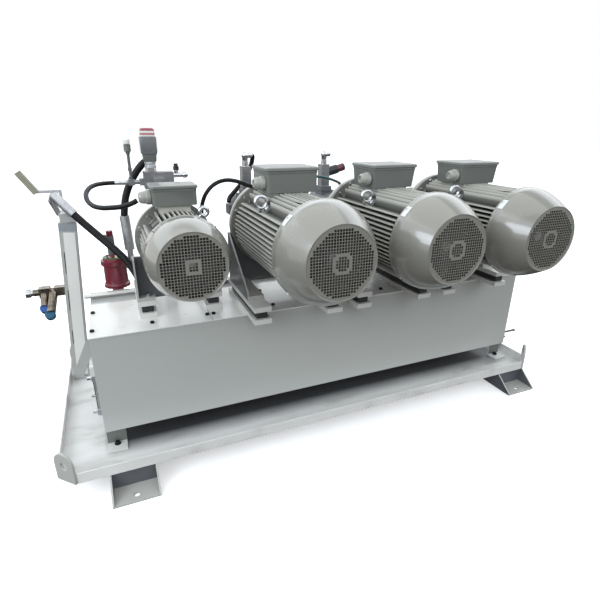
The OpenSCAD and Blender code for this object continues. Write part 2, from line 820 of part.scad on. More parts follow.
module pressure_sensor() {
    color(STEEL) translate([-985, 265, 1314]) {
        cylinder(r = 10, h = 16, $fn = 6);
        cylinder(r = 7, h = 150);
        translate([0, 0, 146]) cylinder(r = 18, h = 38);
        translate([0, 0, 184 - EPS]) cylinder(r1 = 18, r2 = 16, h = 26);
    }
}

// ---- Valves on the large pumps ----

stack_y = 300;
stack_foot = large_axis + 98;
function stack_h(n) = n == 3 ? 120 : 165;
function stack_x(n) = bay_x(n) - (n == 1 ? 0 : 22);

module pump_valve_stacks() {
    color([0.55, 0.53, 0.53]) for (n = [1 : 3]) translate([stack_x(n), stack_y, stack_foot]) {
        translate([-36, -50, 0]) cube([72, 86, 30]);
        translate([-28, -30, 29]) cube([56, 60, stack_h(n) - 28]);
        translate([0, 0, stack_h(n)]) cylinder(r = 20, h = 30);
    }
    color(STEEL) for (n = [1, 2]) translate([stack_x(n), stack_y, stack_foot + stack_h(n) + 29]) {
        cylinder(r = 17, h = 34);
        translate([0, 0, 34]) sphere(r = 21);
        rod([0, 0, 34], [46, 24, 34], 16);
    }
    color([0.35, 0.12, 0.12]) {
        rod([stack_x(2) + 26, stack_y, 1316], [stack_x(2) + 96, stack_y, 1334], 29);
        rod([stack_x(2) + 94, stack_y, 1333], [stack_x(2) + 146, stack_y, 1347], 24);
    }
}

// ---- Service manifold on the left ----

service_y = 450;
service_z = 662;
caps = [[-1548, 372, 587], [-1521, 318, 564]];

module service_manifold() {
    color([0.5, 0.47, 0.42]) {
        rod([-1400, service_y, service_z], [-1600, service_y, service_z], 20);
        translate([-1572, service_y - 28, service_z - 28]) cube([60, 56, 56]);
        translate([-1490, service_y - 26, service_z - 26]) cube([66, 52, 52]);
        translate([-1430, 400, service_z - 26]) cube([44, 54, 52]);
        rod([-1548, service_y, service_z], caps[0] + [0, 6, 8], 20);
        rod([-1496, service_y, service_z], caps[1] + [6, 6, 8], 24);
        rod([-1600 + EPS, service_y, service_z], [-1622, service_y, service_z], 5);
    }
}

module service_knob() {
    color(STEEL) translate([-1603, service_y, service_z]) rotate([0, -90, 0]) difference() {
        union() {
            cylinder(r = 18, h = 14);
            translate([0, 0, 14 - EPS]) cylinder(r = 25, h = 24);
        }
        translate([0, 0, -1]) cylinder(r = 5 + shaft_gap, h = 22);
    }
}

module dust_caps() {
    color([0.05, 0.25, 0.55]) for (c = caps)
        translate(c) rotate([50, 0, 0]) translate([0, 0, -34]) cylinder(r = 27, h = 40);
}

// ---- Hose fittings and hoses ----

upper_ferrule = [[-1389, 326, 1240], [-1303, 296, 1136]];
elbow = [[-1404, 350, 1205], [-1378, 360, 1128]];
return_port = [-1015, 145, deck_z];
long_ferrule = [[-1045, 355, 1101], [-1039, 355, 900]];

module hose_fittings() {
    color(STEEL) {
        rod(upper_ferrule[0], upper_ferrule[1], 25);
        rod(elbow[0], upper_ferrule[0], 15);
        translate(elbow[0]) sphere(r = 16);
        rod(elbow[1], elbow[0], 15);
        translate([return_port[0], return_port[1], cover_z]) cylinder(r = 26, h = 34);
        rod(long_ferrule[0], long_ferrule[1], 27);
        rod(long_ferrule[1], [-1039, 355, 800], 17);
        rod([-1039, 355, 806], [-1086, 325, 806], 17);
        rod([-1072, 265, 1298], [-1010, 265, 1298], 13);
        rod([-860, 312, 1372 - 20], [-880, 345, 1408], 17);
    }
}

// Hose routes: centre lines from fitting to fitting
return_route = [[-1303, 296, 1136], [-1260, 282, 1086], [-1210, 262, 1032], [-1160, 236, 980],
    [-1112, 206, 930], [-1068, 177, 876], [-1036, 156, 818], [-1019, 147, 772], [-1015, 145, 742]];
loop_route = [[-997, -348, 1286], [-1018, -347, 1276], [-1055, -330, 1262], [-1105, -290, 1252],
    [-1155, -230, 1246], [-1192, -150, 1252], [-1210, -50, 1274], [-1200, 50, 1294],
    [-1172, 145, 1302], [-1135, 220, 1301], [-1100, 255, 1299], [-1072, 265, 1298]];
suction_route = [[-880, 345, 1408], [-905, 352, 1392], [-936, 356, 1360], [-980, 357, 1298],
    [-1014, 357, 1232], [-1034, 356, 1165], [-1045, 355, 1101]];
cable_route = [[-713, -285, 1190], [-709, -285, 1225], [-700, -285, 1262], [-676, -285, 1304],
    [-642, -285, 1334], [-598, -287, 1350], [-549, -290, 1348], [-505, -294, 1334],
    [-476, -298, 1322], [-451, -300, 1317]];
stack_route = [[-274, 324, 1428], [-262, 336, 1422], [-258, 352, 1400], [-266, 366, 1360],
    [-290, 378, 1304], [-332, 387, 1245], [-378, 390, 1196], [-408, 380, 1166], [-418, 364, 1146]];
control_route = [[-191, -330, 1356], [-150, -322, 1358], [-100, -305, 1354], [-45, -277, 1342],
    [10, -243, 1326], [55, -207, 1311], [86, -172, 1300], [100, -140, 1293]];

module return_hose() { hose(return_route, 20, [0, 1, 0]); }
module loop_hose() { hose(loop_route, 11, [0, 0, 1]); }
module suction_hose() { hose(suction_route, 20, [0, 1, 0]); }
module motor_cable() { hose(cable_route, 9.5, [0, 1, 0]); }
module stack_hose() { hose(stack_route, 14, [0, 1, 0.3]); }
module control_hose() { hose(control_route, 7, [0, 0, 1]); }

drip_tray();
tray_feet();
lifting_lugs();
tank_shell();
tank_feet();
tank_covers();
cover_bolts();
rear_crossbar();
level_gauge();
support_post();
post_valve();
post_valve_lever();
drain_valve();
drain_lever();
filler_neck();
breather_cap();
return_filter();
filter_lid();
clogging_indicator();
damping_rails();
rail_rubbers();
motor_brackets();
bracket_bolts();
stator_housings();
drive_end_shields();
terminal_boxes();
terminal_box_lids();
cable_glands();
lifting_eyes();
bell_housings();
pumps();
suction_pipes();
fan_cowl(0);  // fan_cowl_1
fan_cowl(1);  // fan_cowl_2
fan_cowl(2);  // fan_cowl_3
fan_cowl(3);  // fan_cowl_4
cooling_fan(0);  // cooling_fan_1
cooling_fan(1);  // cooling_fan_2
cooling_fan(2);  // cooling_fan_3
cooling_fan(3);  // cooling_fan_4
rotor_shaft(0);  // rotor_shaft_1
rotor_shaft(1);  // rotor_shaft_2
rotor_shaft(2);  // rotor_shaft_3
rotor_shaft(3);  // rotor_shaft_4
valve_block();
solenoid_valve();
isolator_body();
isolator_knob();
pressure_sensor();
pump_valve_stacks();
service_manifold();
service_knob();
dust_caps();
hose_fittings();
return_hose();
loop_hose();
suction_hose();
motor_cable();
stack_hose();
control_hose();
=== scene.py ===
"""Hydraulic power unit: looks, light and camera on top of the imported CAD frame.

X runs along the tank, -Y is the fan side and Z is up, in metres, as in the CAD.
"""

import json
import math

import bmesh
import bpy
from mathutils import Matrix, Vector

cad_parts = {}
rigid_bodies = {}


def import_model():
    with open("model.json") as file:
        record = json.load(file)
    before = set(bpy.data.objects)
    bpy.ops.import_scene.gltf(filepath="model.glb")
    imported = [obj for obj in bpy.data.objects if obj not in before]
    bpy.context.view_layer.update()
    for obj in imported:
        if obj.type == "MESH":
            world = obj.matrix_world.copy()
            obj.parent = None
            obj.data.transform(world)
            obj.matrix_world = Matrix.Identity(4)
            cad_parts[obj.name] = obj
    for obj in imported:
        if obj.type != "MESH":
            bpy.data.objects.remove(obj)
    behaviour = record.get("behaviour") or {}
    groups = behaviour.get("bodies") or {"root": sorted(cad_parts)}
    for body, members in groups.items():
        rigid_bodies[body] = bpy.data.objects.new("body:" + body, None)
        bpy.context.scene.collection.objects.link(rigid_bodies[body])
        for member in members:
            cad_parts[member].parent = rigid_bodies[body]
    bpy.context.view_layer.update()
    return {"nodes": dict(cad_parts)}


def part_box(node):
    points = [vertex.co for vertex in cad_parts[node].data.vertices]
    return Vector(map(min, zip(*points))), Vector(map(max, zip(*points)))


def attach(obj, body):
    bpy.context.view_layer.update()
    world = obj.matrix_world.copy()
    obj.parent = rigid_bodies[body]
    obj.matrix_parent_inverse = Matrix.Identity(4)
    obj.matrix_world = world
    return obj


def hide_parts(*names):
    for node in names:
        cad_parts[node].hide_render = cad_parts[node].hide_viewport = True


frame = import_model()
NODES = frame["nodes"]
UNIT = "power_unit"
MM = 0.001


# ---------------------------------------------------------------- materials

def shader(name, colour, rough=0.4, metal=0.0, coat=0.0, coat_rough=0.1, specular=0.5):
    """A node material with its plain values set on the shader itself."""
    m = bpy.data.materials.new(name)
    m.use_nodes = True
    p = m.node_tree.nodes["Principled BSDF"]
    p.inputs["Base Color"].default_value = (*colour, 1)
    p.inputs["Roughness"].default_value = rough
    p.inputs["Metallic"].default_value = metal
    p.inputs["Coat Weight"].default_value = coat
    p.inputs["Coat Roughness"].default_value = coat_rough
    p.inputs["Specular IOR Level"].default_value = specular
    return m


def add_noise(m, scale, detail=4.0, stretch=(1, 1, 1)):
    """A noise value in object space, in metres."""
    t = m.node_tree
    where = t.nodes.new("ShaderNodeTexCoord")
    sized = t.nodes.new("ShaderNodeMapping")
    sized.inputs["Scale"].default_value = stretch
    noise = t.nodes.new("ShaderNodeTexNoise")
    noise.inputs["Scale"].default_value = scale
    noise.inputs["Detail"].default_value = detail
    t.links.new(where.outputs["Object"], sized.inputs["Vector"])
    t.links.new(sized.outputs["Vector"], noise.inputs["Vector"])
    return noise.outputs["Fac"]


def add_ramp(m, value, stops):
    """A colour ramp over a value; stops are (position, colour)."""
    ramp = m.node_tree.nodes.new("ShaderNodeValToRGB")
    e = ramp.color_ramp.elements
    while len(e) < len(stops):
        e.new(0.5)
    for element, (at, colour) in zip(e, stops):
        element.position = at
        element.color = (*colour, 1)
    m.node_tree.links.new(value, ramp.inputs["Fac"])
    return ramp.outputs["Color"]


def tint(m, value, low, high, at=(0.35, 0.65)):
    """Colours the surface from low to high."""
    out = add_ramp(m, value, [(at[0], low), (at[1], high)])
    m.node_tree.links.new(out, m.node_tree.nodes["Principled BSDF"].inputs["Base Color"])


def vary_rough(m, value, low, high):
    """Lets the roughness run from low to high."""
    t = m.node_tree
    span = t.nodes.new("ShaderNodeMapRange")
    span.inputs["From Min"].default_value = 0.3
    span.inputs["From Max"].default_value = 0.7
    span.inputs["To Min"].default_value = low
    span.inputs["To Max"].default_value = high
    t.links.new(value, span.inputs["Value"])
    t.links.new(span.outputs["Result"], t.nodes["Principled BSDF"].inputs["Roughness"])


def bump(m, value, strength, depth):
    """A relief of that depth in metres."""
    t = m.node_tree
    b = t.nodes.new("ShaderNodeBump")
    b.inputs["Strength"].default_value = strength
    b.inputs["Distance"].default_value = depth
    t.links.new(value, b.inputs["Height"])
    t.links.new(b.outputs["Normal"], t.nodes["Principled BSDF"].inputs["Normal"])


def shade(colour, k):
    return tuple(min(1.0, c * k) for c in colour)


def paint(name, colour, rough=0.32, coat=0.25, grain=300, relief=0.0001, spread=0.05, cloud=5):
    """Sprayed paint: a faint orange peel, cloudy gloss and a slight drift in colour."""
    m = shader(name, colour, rough, coat=coat)
    slow = add_noise(m, cloud, 3)
    tint(m, slow, shade(colour, 1 - spread), shade(colour, 1 + spread / 2), (0.2, 0.8))
    vary_rough(m, add_noise(m, cloud * 3, 6), rough - 0.03, rough + 0.05)
    bump(m, add_noise(m, grain, 2), 0.25, relief)
    return m


def casting(name, colour, rough=0.5):
    """Painted cast iron: the same paint on a rough skin."""
    m = shader(name, colour, rough, coat=0.1)
    tint(m, add_noise(m, 9, 6), shade(colour, 0.9), shade(colour, 1.06))
    bump(m, add_noise(m, 170, 5), 0.5, 0.0006)
    return m


def metal(name, colour, rough=0.3, spread=0.12, scale=40, stretch=(1, 1, 1), relief=0.0001):
    """Bare or plated metal with fine marks."""
    m = shader(name, colour, rough, metal=1.0)
    marks = add_noise(m, scale, 6, stretch)
    tint(m, marks, shade(colour, 1 - spread), shade(colour, 1 + spread))
    vary_rough(m, add_noise(m, scale / 3, 3), rough - 0.08, rough + 0.12)
    bump(m, marks, 0.2, relief)
    return m


def plastic(name, colour, rough=0.45, relief=0.0002, scale=220):
    """Moulded plastic or rubber with a fine grain."""
    m = shader(name, colour, rough)
    tint(m, add_noise(m, 12, 4), shade(colour, 0.85), shade(colour, 1.12))
    bump(m, add_noise(m, scale, 3), 0.35, relief)
    return m


def tray_paint():
    """The tray's off-white paint with dust and scuffs on its floor."""
    clean = (0.72, 0.72, 0.70)
    m = shader("tray_paint", clean, 0.38, coat=0.2)
    dust = add_noise(m, 7, 9, (0.6, 1.6, 1.0))
    out = add_ramp(m, dust, [(0.30, (0.50, 0.49, 0.47)), (0.45, (0.66, 0.66, 0.64)), (0.62, clean)])
    m.node_tree.links.new(out, m.node_tree.nodes["Principled BSDF"].inputs["Base Color"])
    vary_rough(m, dust, 0.55, 0.3)
    bump(m, add_noise(m, 300, 2), 0.2, 0.0001)
    return m


def shade_under_tank(m):
    """Painted shade on the tray under the tank: darkest inside the tank's footprint, fading out just past its
    edges.
    """
    t = m.node_tree
    lo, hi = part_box("tank_shell")
    where = t.nodes.new("ShaderNodeTexCoord")
    axes = t.nodes.new("ShaderNodeSeparateXYZ")
    t.links.new(where.outputs["Object"], axes.inputs["Vector"])
    amount = None
    for axis, start, end in (("Y", lo[1] - 0.085, lo[1] + 0.035), ("Y", hi[1] + 0.03, hi[1] - 0.035),
                             ("X", lo[0] - 0.02, lo[0] + 0.03), ("X", hi[0] + 0.02, hi[0] - 0.03)):
        span = t.nodes.new("ShaderNodeMapRange")
        span.inputs["From Min"].default_value = start
        span.inputs["From Max"].default_value = end
        t.links.new(axes.outputs[axis], span.inputs["Value"])
        if amount is None:
            amount = span.outputs["Result"]
            continue
        both = t.nodes.new("ShaderNodeMath")
        both.operation = "MULTIPLY"
        t.links.new(amount, both.inputs[0])
        t.links.new(span.outputs["Result"], both.inputs[1])
        amount = both.outputs["Value"]
    colour = t.nodes["Principled BSDF"].inputs["Base Color"]
    mix = t.nodes.new("ShaderNodeMix")
    mix.data_type = "RGBA"
    t.links.new(amount, mix.inputs["Factor"])
    t.links.new(colour.links[0].from_socket, mix.inputs[6])
    # Near black colour of the painted shade under the tank.
    mix.inputs[7].default_value = (0.04, 0.042, 0.045, 1)
    t.links.new(mix.outputs[2], colour)
    return m


def shaded_housing_paint(bay):
    """Painted cast iron with painted shade between the fins and painted highlights on their edges, set by
    distance from the motor's axis.
    """
    colour = (0.30, 0.30, 0.27)
    m = casting(f"housing_{bay.k}", colour)
    t = m.node_tree
    where = t.nodes.new("ShaderNodeTexCoord")
    out = where.outputs["Object"]
    for operation, value in (("SUBTRACT", (bay.x, 0, bay.z)), ("MULTIPLY", (1, 0, 1))):
        step = t.nodes.new("ShaderNodeVectorMath")
        step.operation = operation
        step.inputs[1].default_value = value
        t.links.new(out, step.inputs[0])
        out = step.outputs["Vector"]
    away = t.nodes.new("ShaderNodeVectorMath")
    away.operation = "LENGTH"
    t.links.new(out, away.inputs[0])
    span = t.nodes.new("ShaderNodeMapRange")
    span.inputs["From Min"].default_value = bay.r * 0.78
    span.inputs["From Max"].default_value = bay.r * 0.93
    t.links.new(away.outputs["Value"], span.inputs["Value"])
    # Painted shade towards the fin roots, painted highlight brighter than the paint at the fin tips.
    ramp = add_ramp(m, span.outputs["Result"], [(0.0, shade(colour, 0.10)), (0.6, shade(colour, 0.42)),
                                                (0.97, shade(colour, 1.5))])
    t.links.new(ramp, t.nodes["Principled BSDF"].inputs["Base Color"])
    return m


def hose_rubber():
    """Black hose cover with the faint imprint of its wrapping."""
    m = shader("hose_rubber", (0.006, 0.006, 0.007), 0.5, specular=0.25)
    tint(m, add_noise(m, 30, 4), (0.004, 0.004, 0.005), (0.010, 0.010, 0.011))
    bump(m, add_noise(m, 700, 2), 0.4, 0.0003)
    return m


TRAY = tray_paint()
WHITE = paint("frame_paint", (0.62, 0.62, 0.595), 0.36, 0.2)
COVER = paint("cover_paint", (0.74, 0.735, 0.70), 0.3, 0.3, spread=0.03)
TANK = paint("tank_paint", (0.43, 0.445, 0.425), 0.2, 0.7, spread=0.02, cloud=1.5)
MOTOR = paint("motor_paint", (0.30, 0.30, 0.27), 0.3, 0.35, grain=240)
CAST = casting("motor_casting", (0.22, 0.22, 0.20), 0.45)
COWL = paint("cowl_paint", (0.215, 0.212, 0.185), 0.24, 1.0, grain=160, spread=0.03, cloud=2)
BOX = paint("box_paint", (0.125, 0.135, 0.125), 0.4, 0.2)
LID = paint("lid_paint", (0.17, 0.18, 0.17), 0.36, 0.3)
# Near black paint that stands for shade: painted shade on the upright faces of the tray feet and motor
# brackets.
DARK = paint("shaded_paint", (0.085, 0.09, 0.10), 0.4, 0.3)
POST = paint("post_paint", (0.40, 0.405, 0.39), 0.36, 0.2)
PLATE = paint("plate_paint", (0.44, 0.44, 0.41), 0.3, 0.4)
BAND = paint("post_band", (0.27, 0.30, 0.32), 0.3, 0.3)
IRON = casting("pump_iron", (0.10, 0.105, 0.11), 0.5)
BELL = casting("bell_aluminium", (0.20, 0.205, 0.21), 0.42)
ZINC = metal("zinc_plating", (0.62, 0.64, 0.66), 0.26)
CHROME = metal("nickel_fittings", (0.60, 0.60, 0.61), 0.18, 0.12)
BLOCK = metal("machined_block", (0.33, 0.335, 0.345), 0.34, 0.12, 25, (1, 1, 6))
BRONZE = metal("bronze_fittings", (0.25, 0.215, 0.175), 0.26, 0.35, 45)
FERRULE = metal("crimped_ferrule", (0.50, 0.51, 0.52), 0.5, 0.1, 50)
BLACKING = metal("blackened_bolts", (0.03, 0.03, 0.032), 0.4, 0.3)
RUBBER = plastic("damping_rubber", (0.02, 0.02, 0.021), 0.6)
HOSE = hose_rubber()
TEAL = plastic("control_line", (0.02, 0.09, 0.09), 0.4)
RED = paint("filter_red", (0.15, 0.012, 0.026), 0.3, 0.5, spread=0.15)
RED_LID = paint("filter_lid_red", (0.24, 0.03, 0.05), 0.36, 0.3, spread=0.15)
PINK = plastic("coil_cap", (0.42, 0.17, 0.17), 0.35)
GREY_PLASTIC = plastic("coil_grey", (0.13, 0.135, 0.14), 0.4)
DARK_PLASTIC = plastic("dark_plastic", (0.018, 0.018, 0.02), 0.35)
BLUE = plastic("cap_blue", (0.008, 0.07, 0.27), 0.35)
CYAN = plastic("cap_cyan", (0.004, 0.085, 0.16), 0.35)
SLEEVE = plastic("lever_sleeve", (0.24, 0.235, 0.175), 0.5)
FAN = plastic("fan_plastic", (0.035, 0.035, 0.034), 0.6)
# Near black and matte: painted shade inside the cowls.
INSIDE_SHADE = plastic("dark_lining", (0.006, 0.006, 0.007), 0.9)
CLEAR = plastic("clear_cap", (0.66, 0.68, 0.66), 0.2)
SLOT = plastic("dark_gap", (0.01, 0.01, 0.01), 0.8)
GREEN = plastic("seal_green", (0.06, 0.16, 0.05), 0.4)
CREAM = plastic("cream_plug", (0.62, 0.55, 0.36), 0.4)
LABEL = paint("blank_plate", (0.66, 0.70, 0.72), 0.3, 0.3)


# ---------------------------------------------------------------- shape helpers

SHARP = math.radians(32)


def keep_edges(mesh, angle=SHARP):
    """Smooth faces with hard edges where they turn sharply."""
    b = bmesh.new()
    b.from_mesh(mesh)
    for f in b.faces:
        f.smooth = True
    for e in b.edges:
        e.smooth = len(e.link_faces) == 2 and e.calc_face_angle(0) < angle
    b.to_mesh(mesh)
    b.free()


def piece(name, mesh, material, body=UNIT):
    """A new object of that mesh that rides on a body."""
    mesh.materials.clear()
    mesh.materials.append(material)
    o = bpy.data.objects.new(name, mesh)
    bpy.context.scene.collection.objects.link(o)
    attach(o, body)
    return o


def soften(o, width, segments=2):
    """Rounds the hard edges of a piece."""
    if width > 0:
        mod = o.modifiers.new("edge", "BEVEL")
        mod.width = width
        mod.segments = segments
        mod.limit_method = "ANGLE"
        mod.angle_limit = SHARP
        mod.harden_normals = True
        mod.use_clamp_overlap = True
    return o


def clean_copy(node):
    """The node's mesh with its flat faces joined."""
    b = bmesh.new()
    b.from_mesh(NODES[node].data)
    bmesh.ops.remove_doubles(b, verts=b.verts, dist=1e-6)
    bmesh.ops.dissolve_limit(b, angle_limit=0.002, verts=b.verts, edges=b.edges)
    mesh = bpy.data.meshes.new(node + "_skin")
    b.to_mesh(mesh)
    b.free()
    keep_edges(mesh)
    return mesh


def stands_for(o, node):
    """Hides the CAD node that the piece stands for, and gives the piece back."""
    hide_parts(node)
    return o


def dress(node, material, width=0.0015, body=UNIT, segments=2):
    """Stands for a CAD node with its own shape, its edges rounded."""
    return stands_for(soften(piece(node + "_skin", clean_copy(node), material, body), width, segments), node)


def zoned(node, material, zones, width=0.0015, body=UNIT, segments=2):
    """As dress(), with some faces in other materials: zones are (material, test of a face's middle)."""
    o = dress(node, material, width, body, segments)
    for other, inside in zones:
        o.data.materials.append(other)
        for f in o.data.polygons:
            if inside(f.center):
                f.material_index = len(o.data.materials) - 1
    return o


PLATE_EDGE = 0.012


def paint_shade_on_uprights(node, flat, material, above, width=0.0015):
    """As dress(), in the first material, with the upright faces above a height in the other as painted shade.

    Faces narrower than a plate's thickness are edges and stay in the first.
    """
    o = dress(node, flat, width)
    o.data.materials.append(material)
    for f in o.data.polygons:
        ring = [o.data.vertices[i].co for i in f.vertices]
        around = sum((a - b).length for a, b in zip(ring, ring[1:] + ring[:1]))
        if f.center.z > above and abs(f.normal.z) < 0.8 and 2 * f.area / around > PLATE_EDGE:
            f.material_index = 1
    return o


def solids(node):
    """(low, high) corners of each separate solid of a node, from left to right."""
    b = bmesh.new()
    b.from_mesh(NODES[node].data)
    bmesh.ops.remove_doubles(b, verts=b.verts, dist=1e-6)
    found, seen = [], set()
    for start in b.verts:
        if start.index in seen:
            continue
        stack, group = [start], []
        seen.add(start.index)
        while stack:
            v = stack.pop()
            group.append(v.co)
            for e in v.link_edges:
                w = e.other_vert(v)
                if w.index not in seen:
                    seen.add(w.index)
                    stack.append(w)
        found.append((Vector([min(p[i] for p in group) for i in range(3)]),
                      Vector([max(p[i] for p in group) for i in range(3)])))
    b.free()
    return sorted(found, key=lambda s: (round(s[0].x, 3), round(s[0].y, 3), s[0].z))


def frame_on(origin, axis, up=(0, 0, 1)):
    """A matrix whose local Z is the axis and whose local X lies as near up as it can."""
    z = Vector(axis).normalized()
    x = Vector(up) - Vector(up).dot(z) * z
    if x.length < 1e-4:
        x = Vector((1, 0, 0)) - z.x * z
    x.normalize()
    y = z.cross(x)
    return Matrix.Translation(Vector(origin)) @ Matrix((x, y, z)).transposed().to_4x4()


def turned(profile, segments=48, angle=SHARP):
    """A lathe-turned mesh round Z; profile is a closed run of (radius, height)."""
    b = bmesh.new()
    rings = []
    for r, h in profile:
        if r < 1e-7:
            rings.append([b.verts.new((0, 0, h))])
        else:
            rings.append([b.verts.new((r * math.cos(2 * math.pi * k / segments),
                                       r * math.sin(2 * math.pi * k / segments), h))
                          for k in range(segments)])
    for low, high in zip(rings, rings[1:]):
        for k in range(segments):
            n = (k + 1) % segments
            if len(low) == 1 and len(high) > 1:
                b.faces.new((low[0], high[n], high[k]))
            elif len(high) == 1 and len(low) > 1:
                b.faces.new((low[k], low[n], high[0]))
            elif len(low) > 1:
                b.faces.new((low[k], low[n], high[n], high[k]))
    bmesh.ops.remove_doubles(b, verts=b.verts, dist=1e-7)
    bmesh.ops.recalc_face_normals(b, faces=b.faces)
    mesh = bpy.data.meshes.new("turned")
    b.to_mesh(mesh)
    b.free()
    keep_edges(mesh, angle)
    return mesh


def lathe(name, profile, origin, axis, material, segments=48, width=0.0008):
    """A turned piece on an axis; profile is a closed run of (radius, height)."""
    mesh = turned(profile, segments)
    mesh.transform(frame_on(origin, axis))
    return soften(piece(name, mesh, material), width)


FEW_HOLES = 20


def prism(name, outline, origin, axis, depth, material, up=(0, 0, 1), width=0.001, holes=()):
    """A plate: an outline of (x, y) points with holes, as deep as depth along the axis."""
    curve = bpy.data.curves.new(name, "CURVE")
    curve.dimensions = "2D"
    curve.fill_mode = "BOTH"
    curve.extrude = depth / 2
    for loop in (outline, *holes):
        s = curve.splines.new("POLY")
        s.points.add(len(loop) - 1)
        for p, (x, y) in zip(s.points, loop):
            p.co = (x, y, 0, 1)
        s.use_cyclic_u = True
    o = bpy.data.objects.new(name, curve)
    mesh = bpy.data.meshes.new_from_object(o)
    bpy.data.objects.remove(o)
    bpy.data.curves.remove(curve)
    b = bmesh.new()
    b.from_mesh(mesh)
    bmesh.ops.remove_doubles(b, verts=b.verts, dist=1e-6)
    if len(holes) < FEW_HOLES:  # a face with many holes stays in triangles
        bmesh.ops.dissolve_limit(b, angle_limit=0.002, verts=b.verts, edges=b.edges)
    bmesh.ops.recalc_face_normals(b, faces=b.faces)
    b.to_mesh(mesh)
    b.free()
    mesh.transform(frame_on(origin, axis, up) @ Matrix.Translation((0, 0, depth / 2)))
    keep_edges(mesh)
    return soften(piece(name, mesh, material), width)


def circle(r, n):
    return [(r * math.cos(2 * math.pi * k / n), r * math.sin(2 * math.pi * k / n)) for k in range(n)]


def rounded(w, d, r, n=6):
    """The outline of a rectangle w by d about the middle, its corners rounded."""
    out = []
    for cx, cy, a in ((1, 1, 0), (-1, 1, 90), (-1, -1, 180), (1, -1, 270)):
        for k in range(n + 1):
            t = math.radians(a + 90 * k / n)
            out.append((cx * (w / 2 - r) + r * math.cos(t), cy * (d / 2 - r) + r * math.sin(t)))
    return out


def lofted(name, layers, material, width=0.001):
    """A body through equal outlines at rising heights: layers of (z, [(x, y), ...]) in place."""
    b = bmesh.new()
    rings = [[b.verts.new((x, y, z)) for x, y in outline] for z, outline in layers]
    n = len(rings[0])
    for low, high in zip(rings, rings[1:]):
        for k in range(n):
            b.faces.new((low[k], low[(k + 1) % n], high[(k + 1) % n], high[k]))
    b.faces.new(rings[0][::-1])
    b.faces.new(rings[-1])
    bmesh.ops.recalc_face_normals(b, faces=b.faces)
    mesh = bpy.data.meshes.new(name)
    b.to_mesh(mesh)
    b.free()
    keep_edges(mesh)
    return soften(piece(name, mesh, material), width)


def joined(name, pieces):
    """Several pieces of one body as one object; each keeps its own material."""
    depsgraph = bpy.context.evaluated_depsgraph_get()
    body = pieces[0].parent
    b = bmesh.new()
    slots = []
    for o in pieces:
        mesh = bpy.data.meshes.new_from_object(o.evaluated_get(depsgraph))
        mesh.transform(o.matrix_world)
        first = len(b.faces)
        b.from_mesh(mesh)
        b.faces.ensure_lookup_table()
        material = o.data.materials[0]
        if material not in slots:
            slots.append(material)
        for f in b.faces[first:]:
            f.material_index = slots.index(material)
        bpy.data.meshes.remove(mesh)
    mesh = bpy.data.meshes.new(name)
    b.to_mesh(mesh)
    b.free()
    for m in slots:
        mesh.materials.append(m)
    out = bpy.data.objects.new(name, mesh)
    bpy.context.scene.collection.objects.link(out)
    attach(out, body.name.replace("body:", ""))
    for o in pieces:
        bpy.data.objects.remove(o)
    return out


def tube(name, points, radius, material):
    """A hose on one open curve through the points."""
    curve = bpy.data.curves.new(name, "CURVE")
    curve.dimensions = "3D"
    curve.bevel_depth = radius
    curve.bevel_resolution = 6
    curve.use_fill_caps = True
    curve.resolution_u = 8
    s = curve.splines.new("BEZIER")
    s.bezier_points.add(len(points) - 1)
    for p, co in zip(s.bezier_points, points):
        p.co = co
        p.handle_left_type = p.handle_right_type = "AUTO"
    curve.materials.append(material)
    o = bpy.data.objects.new(name, curve)
    bpy.context.scene.collection.objects.link(o)
    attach(o, UNIT)
    return o


def hex_bolt(name, at, axis, across, height, material):
    """A hex head with a chamfered top and its washer."""
    r = across / math.sqrt(3)
    head = turned([(0, 0), (r, 0), (r, height * 0.85), (r * 0.86, height), (0, height)], 6)
    keep_edges(head, math.radians(15))
    head.transform(frame_on(at, axis))
    washer = [(0, 0), (r * 1.25, 0), (r * 1.25, height * 0.2), (0, height * 0.2)]
    return [piece(name + "_head", head, material),
            lathe(name + "_washer", washer, at, axis, material, 24, 0)]


def socket_bolt(name, at, axis, radius, height, material):
    """A cylindrical head with a hexagon socket."""
    profile = [(0, 0), (radius, 0), (radius, height * 0.9), (radius * 0.92, height),
               (radius * 0.56, height), (radius * 0.5, height * 0.5), (0, height * 0.45)]
    return [lathe(name + "_head", profile, at, axis, material, 18, 0)]


# ---------------------------------------------------------------- camera

EYE = Vector((-1.097, -2.405, 1.584))
YAW, PITCH, ROLL = math.radians(23.0), math.radians(21.4), math.radians(0.44)
LENS = 26.3


def place_camera():
    data = bpy.data.cameras.new("camera")
    data.lens = LENS
    data.clip_end = 60
    cam = bpy.data.objects.new("camera", data)
    cam.matrix_world = (Matrix.Translation(EYE) @ Matrix.Rotation(-YAW, 4, "Z")
                        @ Matrix.Rotation(math.pi / 2 - PITCH, 4, "X") @ Matrix.Rotation(ROLL, 4, "Z"))
    bpy.context.scene.collection.objects.link(cam)
    bpy.context.scene.camera = cam


place_camera()


# ---------------------------------------------------------------- hoses

def metres(route):
    return [tuple(c * MM for c in p) for p in route]


